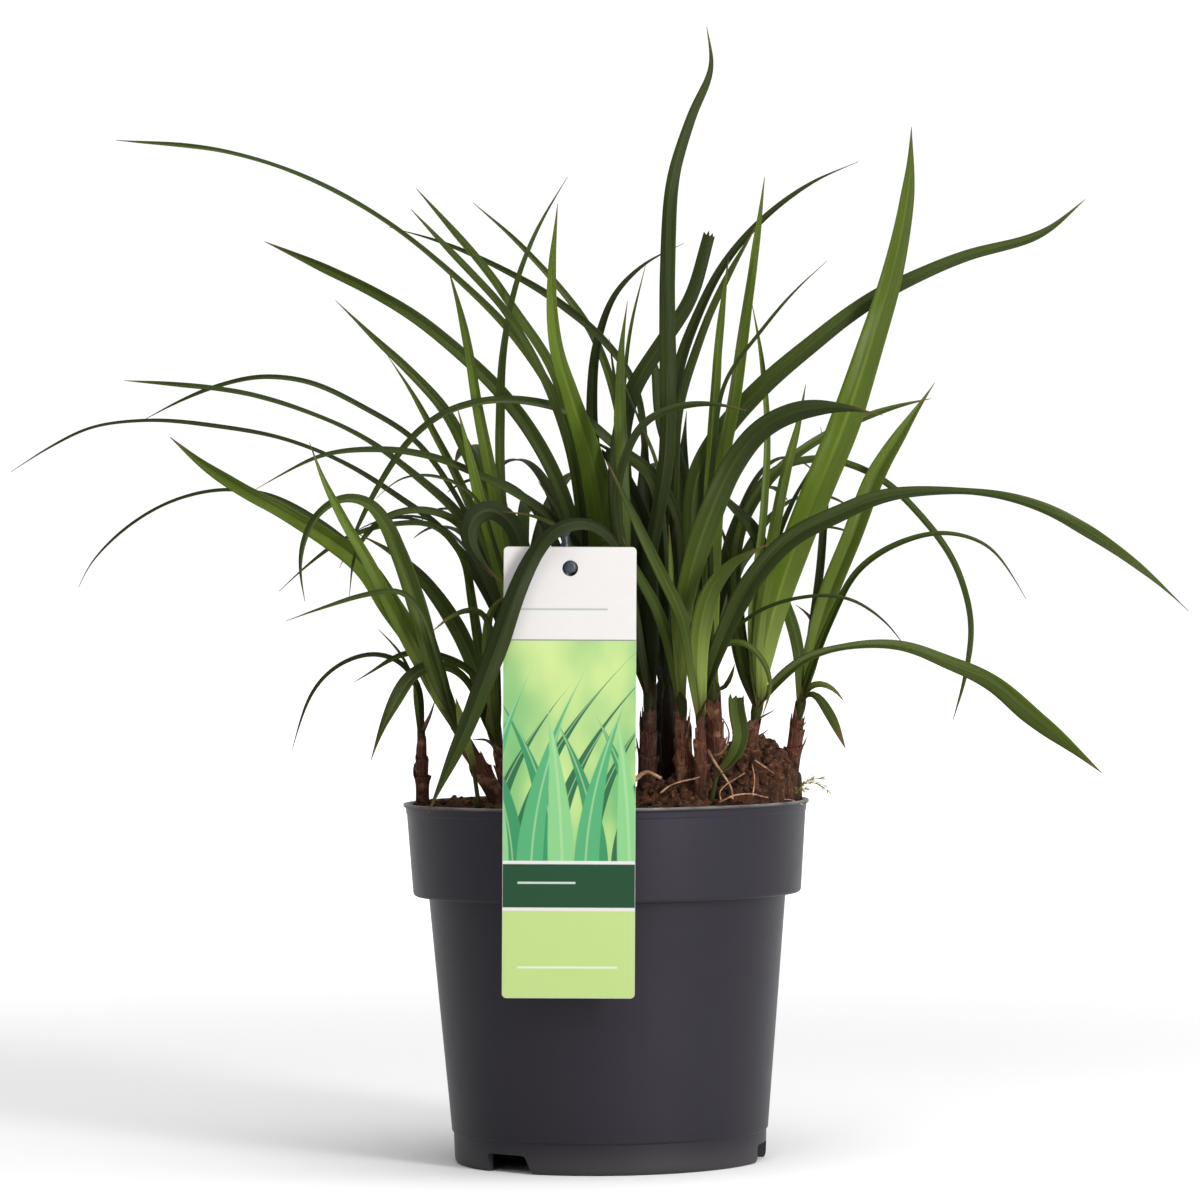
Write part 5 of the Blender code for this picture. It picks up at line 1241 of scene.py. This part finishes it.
# Small dry spikes and thin loops on the sheaths, from foot to point.
SPIKES = [
    ([(-88, 182), (-90, 186.5)], (-6, -9), 1.4, 0.3),
    ([(-85.5, 202), (-82, 209), (-79.6, 216)], (-6, -9), 2.6, 0.3),
    ([(90.7, 200), (92.6, 202), (94.3, 203.7)], (-8, -10), 1.5, 0.3),
    ([(66, 201.5), (73, 206), (79.3, 209.3)], (-38, -48), 2.0, 0.3),
    ([(66, 192), (71, 196), (76.3, 200.3)], (-40, -52), 1.8, 0.3),
    ([(50.7, 188.7), (53.3, 189), (56.7, 193), (58, 198.7), (56.7, 203), (53.3, 208)],
        (-64, -70), 1.2, 0.4),
    ([(-48.8, 190), (-52, 194), (-56, 197), (-62, 197.3)], (-25, -34), 2.6, 0.4),
    ([(24, 181), (22, 194), (20, 203)], (0, -4), 2.0, 0.4),
    ([(36, 190), (39, 201), (40, 211)], (-48, -54), 1.8, 0.3),
]


def moss_sprig(draw):
    """A fuzzy sprig of moss that leans out over the rim at the right."""
    stems = [[(84, -16, 168), (90, -15, 174.5), (97, -14, 175.5), (105, -14, 170.5)],
        [(85, -20, 168), (90, -19, 173.5), (95, -18, 177), (101, -18, 178)],
        [(84, -26, 168), (88, -27, 172), (93, -28, 173.5)]]
    paths = [(stem, 0.7, 0.25) for stem in stems]
    lines = [smooth_curve(stem, 0.5) for stem in stems]
    for n in range(MOSS_HAIRS):
        line = lines[n % 3]
        at = draw.randrange(len(line) // 4, len(line) - 1)
        foot = Vector(line[at])
        run = (Vector(line[at + 1]) - foot).normalized()
        aside = Vector([draw.uniform(-1, 1) for _ in range(3)])
        tip = foot + (run * 1.1 + aside).normalized() * draw.uniform(1.2, 3.2)
        paths.append(([foot, (foot + tip) / 2 + Vector((0, 0, 0.2)), tip], 0.40, 0.16))
    return paths


# Pot, label and stake.

def rounded(corners, steps=4):
    """A line through corners, each given as x, z and the radius that rounds it."""
    made = [corners[0][:2]]
    for before, (*here, radius), after in zip(corners, corners[1:], corners[2:]):
        if not radius:
            made.append(tuple(here))
            continue
        here = Vector(here)
        start, stop = (here + (end - here).normalized() * min(radius, (end - here).length * 0.45)
            for end in (Vector(before[:2]), Vector(after[:2])))
        for k in range(steps + 1):
            t = k / steps
            made.append(tuple(start * (1 - t) ** 2 + here * 2 * t * (1 - t) + stop * t**2))
    made.append(corners[-1][:2])
    return made


def turned(name, corners, sides):
    """A turned object from a profile whose outer side runs from top to bottom."""
    profile = rounded(corners)
    mesh = bpy.data.meshes.new(name)
    mesh.from_pydata([(r * MM, 0, z * MM) for r, z in profile],
        [(k, k + 1) for k in range(len(profile) - 1)], [])
    obj = placed(name, mesh)
    screw = obj.modifiers.new("turn", "SCREW")
    screw.steps = screw.render_steps = sides
    screw.use_merge_vertices = True
    screw.merge_threshold = 0.00001
    return obj


def applied(obj):
    """The object's mesh as it stands, with its modifiers and its place; the object goes."""
    bpy.context.view_layer.update()
    graph = bpy.context.evaluated_depsgraph_get()
    mesh = bpy.data.meshes.new_from_object(obj.evaluated_get(graph))
    mesh.transform(obj.matrix_world)
    bpy.data.objects.remove(obj)
    return mesh


def cutter(name, bm, holder, place, turn=0.0):
    """A body to cut the pot with, put at a place and turned about the upright."""
    obj = placed(name, bm_mesh(name, bm), holder)
    obj.location = Vector(place) * MM
    obj.rotation_euler = (0, 0, turn)


def notch_bm():
    """The prism that cuts one notch in the foot; its upper corners are rounded."""
    side = NOTCH_WIDTH / 2
    outline = rounded([(-side, -1, 0), (-side, NOTCH_HEIGHT, 2.2), (side - 4.0, NOTCH_HEIGHT, 2.2),
        (side, -1, 0), (side, -2, 0), (-side, -2, 0)], 3)
    bm = bmesh.new()
    near, far = ([bm.verts.new(Vector((x, y, z)) * MM) for x, z in outline]
        for y in (-NOTCH_REACH, NOTCH_REACH))
    bm.faces.new(near)
    bm.faces.new(far[::-1])
    for k in range(len(near)):
        bm.faces.new([near[k - 1], far[k - 1], far[k], near[k]])
    bmesh.ops.recalc_face_normals(bm, faces=bm.faces)
    return bm


def make_pot(mat):
    """The pot: turned, with notches cut in its foot and drain holes in its raised base."""
    foot = FOOT_RADIUS
    inner_foot = foot - 2 * WALL - 0.6
    disc = BASE_DISC_RADIUS
    floor = RAISED_BASE + BASE_THICK
    step = BODY_TOP[1] + WALL
    pot = turned("fine_pot", [
        (0, BASE_THICK, 0), (disc - BASE_THICK, BASE_THICK, 0), (disc - BASE_THICK, floor, 0),
        (BODY_FOOT[0] - WALL - 1.0, floor, 0), (BODY_TOP[0] - WALL, step, 0),
        (COLLAR_FOOT[0] - WALL - 0.2, step, 0), (COLLAR_TOP[0] - WALL, COLLAR_TOP[1] + 0.6, 0.5),
        (COLLAR_TOP[0] - 0.9, POT_HEIGHT, 0.5), (LIP_RADIUS, POT_HEIGHT, 0.7),
        (LIP_RADIUS - 0.05, COLLAR_TOP[1] + 0.4, 0.4), (*COLLAR_TOP, 0.3), (93.65, 163.3, 0.2),
        (93.35, 162.9, 0.2), (COLLAR_FOOT[0] - 0.25, BODY_TOP[1], 1.9),
        (BODY_TOP[0] + 0.3, BODY_TOP[1], 0.6), (*BODY_FOOT, 0.4), (foot + 0.35, 14.1, 0.3),
        (foot - 0.1, 0, 3.6), (inner_foot, 0, 0.4), (inner_foot, RAISED_BASE, 0),
        (disc, RAISED_BASE, 0), (disc, 0, 0), (0, 0, 0)], POT_SIDES)
    cutters = bpy.data.collections.new("pot_cutters")
    scene.collection.children.link(cutters)
    for angle in NOTCH_ANGLES:
        turn = math.radians(angle)
        place = (foot * math.sin(turn), -foot * math.cos(turn), 0)
        cutter("notch", notch_bm(), cutters, place, turn)
    for n in range(DRAIN_HOLES):
        turn = math.tau * (n + 0.5) / DRAIN_HOLES
        bm = bmesh.new()
        bmesh.ops.create_cone(bm, cap_ends=True, segments=28, radius1=DRAIN_RADIUS * MM,
            radius2=DRAIN_RADIUS * MM, depth=8 * MM)
        place = (DRAIN_RING_RADIUS * math.cos(turn), DRAIN_RING_RADIUS * math.sin(turn), RAISED_BASE)
        cutter("drain", bm, cutters, place)
    cut = pot.modifiers.new("cut", "BOOLEAN")
    cut.operation = "DIFFERENCE"
    cut.operand_type = "COLLECTION"
    cut.collection = cutters
    mesh = applied(pot)
    for obj in list(cutters.objects):
        bpy.data.objects.remove(obj)
    bpy.data.collections.remove(cutters)
    piece("fine_pot", mesh, mat, "nursery_pot", 38)


def arc(centre, radius, start, step, count):
    """Points of an arc round a centre, from a start angle on by steps in degrees."""
    turns = [math.radians(start + step * k) for k in range(count)]
    return [(centre[0] + radius * math.cos(a), centre[1] + radius * math.sin(a)) for a in turns]


def make_label(mat):
    """The card in its own axes, so that its print is laid out from its middle."""
    wide, tall = LABEL_SIZE
    lean = math.radians(LABEL_LEAN)
    middle = (LABEL_TOP[0] - tall / 2 * math.sin(lean), LABEL_TOP[1] - tall / 2 * math.cos(lean))
    dx, dz = LABEL_HOLE[0] - middle[0], LABEL_HOLE[1] - middle[1]
    hole = (dx * math.cos(lean) - dz * math.sin(lean), dx * math.sin(lean) + dz * math.cos(lean))
    curve = bpy.data.curves.new("card", "CURVE")
    curve.dimensions = "2D"
    curve.fill_mode = "BOTH"
    curve.extrude = 0.17 * MM
    curve.bevel_depth = 0.08 * MM
    curve.bevel_resolution = 1
    corners = []
    for cx, cy, start in ((1, 1, 0), (-1, 1, 90), (-1, -1, 180), (1, -1, 270)):
        centre = (cx * (wide / 2 - LABEL_CORNER), cy * (tall / 2 - LABEL_CORNER))
        corners += arc(centre, LABEL_CORNER, start, 15, 7)
    for outline in (corners, arc(hole, LABEL_HOLE_RADIUS, 0, 7.5, 48)):
        spline = curve.splines.new("POLY")
        spline.points.add(len(outline) - 1)
        for point, (x, y) in zip(spline.points, outline):
            point.co = (x * MM, y * MM, 0, 1)
        spline.use_cyclic_u = True
    obj = piece("fine_label", applied(placed("card", curve)), mat, "hanging_label",
        35)
    obj.rotation_euler = (math.pi / 2, lean, 0)
    obj.location = Vector((middle[0], LABEL_DEPTH, middle[1])) * MM


def make_stake(mat):
    """The stake: a pin with a knob, and a dished peg through the label."""
    r = STAKE_RADIUS
    stake = turned("stake", [(0, 147, 0), (2.2, 146.8, 0.8), (2.8, 144.8, 0.8), (2.5, 142.6, 0.6),
        (1.6, 141.6, 0.6), (1.5, 139.2, 0.8), (r, 137.4, 0.8), (r, 60, 0), (r, -8, 1),
        (0.8, -17, 0.3), (0, -17, 0)], PIN_SIDES)
    stake.location = Vector(STAKE_FOOT) * MM
    stake.rotation_euler = (math.radians(STAKE_LEAN), 0, 0)
    r = PEG_RADIUS
    peg = turned("peg", [(0, 4.0, 0), (r - 0.9, 4.0, 0.5), (r, 3.2, 0.5), (r, -2, 0), (0, -2, 0)],
        PIN_SIDES)
    peg.rotation_euler = (math.pi / 2, 0, 0)
    peg.location = Vector((PEG_CENTRE[0], LABEL_DEPTH + 1.9, PEG_CENTRE[1])) * MM
    bm = bmesh.new()
    for obj in (stake, peg):
        bm.from_mesh(applied(obj))
    piece("fine_stake", bm_mesh("stake", bm), mat, "label_stake", 45)


# Build it all.

LEAF = leaf_material()
SHEATH = sheath_material()
PEAT = soil_material("peat", (0.13, 0.058, 0.030))
CRUMB = soil_material("peat_crumb", (0.18, 0.085, 0.045))
ROOT = fibre_material("bare_root", (0.11, 0.055, 0.028), (0.36, 0.21, 0.12))
COIR = fibre_material("coir", (0.09, 0.042, 0.020), (0.26, 0.14, 0.07))
DRY = fibre_material("dry_spike", (0.040, 0.022, 0.012), (0.15, 0.085, 0.045))
MOSS = fibre_material("moss", (0.10, 0.09, 0.03), (0.30, 0.27, 0.11))

draw = random.Random(5)
rows = [(shoot, *row) for shoot, blades in BLADES for row in blades]
leaves = [Blade(*row[:4]) for row in rows] + grow_back_blades()
settle(leaves, make_posts())
tones = [row[4] for row in rows] + [draw.uniform(0.0, 0.3) for _ in leaves[len(rows):]]
for shoot in SHOOTS:
    chosen = [k for k, blade in enumerate(leaves) if blade.shoot == shoot]
    shoot_leaves(shoot, [leaves[k] for k in chosen], [tones[k] for k in chosen],
        [k * 1.7 for k in chosen], LEAF)
    if SHOOTS[shoot][3]:
        make_sheath(shoot, SHEATH, draw)
make_soil(PEAT)
make_crumbs(CRUMB, draw)
strands("coir_fibres", coir_fibres(draw), COIR, 5)
strands("bare_roots", seen_paths(ROOTS), ROOT, 8)
strands("dry_spikes", seen_paths(SPIKES), DRY, 6)
strands("moss_sprig", moss_sprig(draw), MOSS, 5)
make_pot(pot_material())
make_label(label_material())
make_stake(stake_material())

# Floor, light and camera.

reach = FLOOR_REACH / MM
floor = placed("floor", point_mesh("floor",
    [(-reach, -reach, 0), (reach, -reach, 0), (reach, reach, 0), (-reach, reach, 0)],
    [(0, 1, 2, 3)]))
paper = material("floor_paper")
# The paper glows further out, so that it runs into the bright backdrop all round.
far_out = paper.ramp(paper.away(*paper.split()[:2]), *GLOW_FROM, 0.0, GLOW)
floor.data.materials.append(paper.set(
    Base_Color=paper.mix(paper.noise(3.0), (0.86, 0.86, 0.86), (0.88, 0.88, 0.88)),
    Roughness=0.9, Specular_IOR_Level=0.1, Emission_Color=(1.0, 1.0, 1.0),
    Emission_Strength=far_out))

# The backdrop behind the plant is bright and the room in front of it dim.
scene.world = bpy.data.worlds.new("studio")
sky = Nodes(scene.world, "Background")
sky.set(Color=(1.0, 1.0, 1.0),
    Strength=sky.ramp(sky.split("Generated")["Y"], 0.7, 0.97, 0.36, 1.05))


def soft_light(name, place, aim, size, power):
    """A soft lamp of a size in metres that shines at its aim."""
    data = bpy.data.lights.new(name, "AREA")
    data.shape = "RECTANGLE"
    data.size, data.size_y = size
    data.energy = power
    lamp = placed(name, data)
    lamp.location = place
    lamp.rotation_euler = (Vector(aim) - Vector(place)).to_track_quat("-Z", "Y").to_euler()


soft_light("top", (0.3, -0.4, 2.0), (0, 0, 0.3), (2.0, 2.0), 34)
soft_light("right", (1.15, -1.55, 0.5), (0, 0, 0.2), (0.35, 1.5), 46)
soft_light("front", (-0.55, -1.9, 1.45), (0, 0, 0.2), (0.5, 0.5), 5)

# The camera looks level along +Y, rolled as the photograph is.
lens = bpy.data.cameras.new("camera")
lens.sensor_width = FILM_WIDTH
lens.lens = LENS
lens.clip_end = 50.0
camera = placed("camera", lens)
camera.matrix_world = (Matrix.Translation((EYE_X * MM, -EYE_DISTANCE * MM, EYE_Z * MM))
    @ Matrix.Rotation(math.radians(90), 4, "X") @ Matrix.Rotation(math.radians(ROLL), 4, "Z"))
bpy.context.scene.camera = camera
bpy.context.scene.view_settings.view_transform = "Standard"
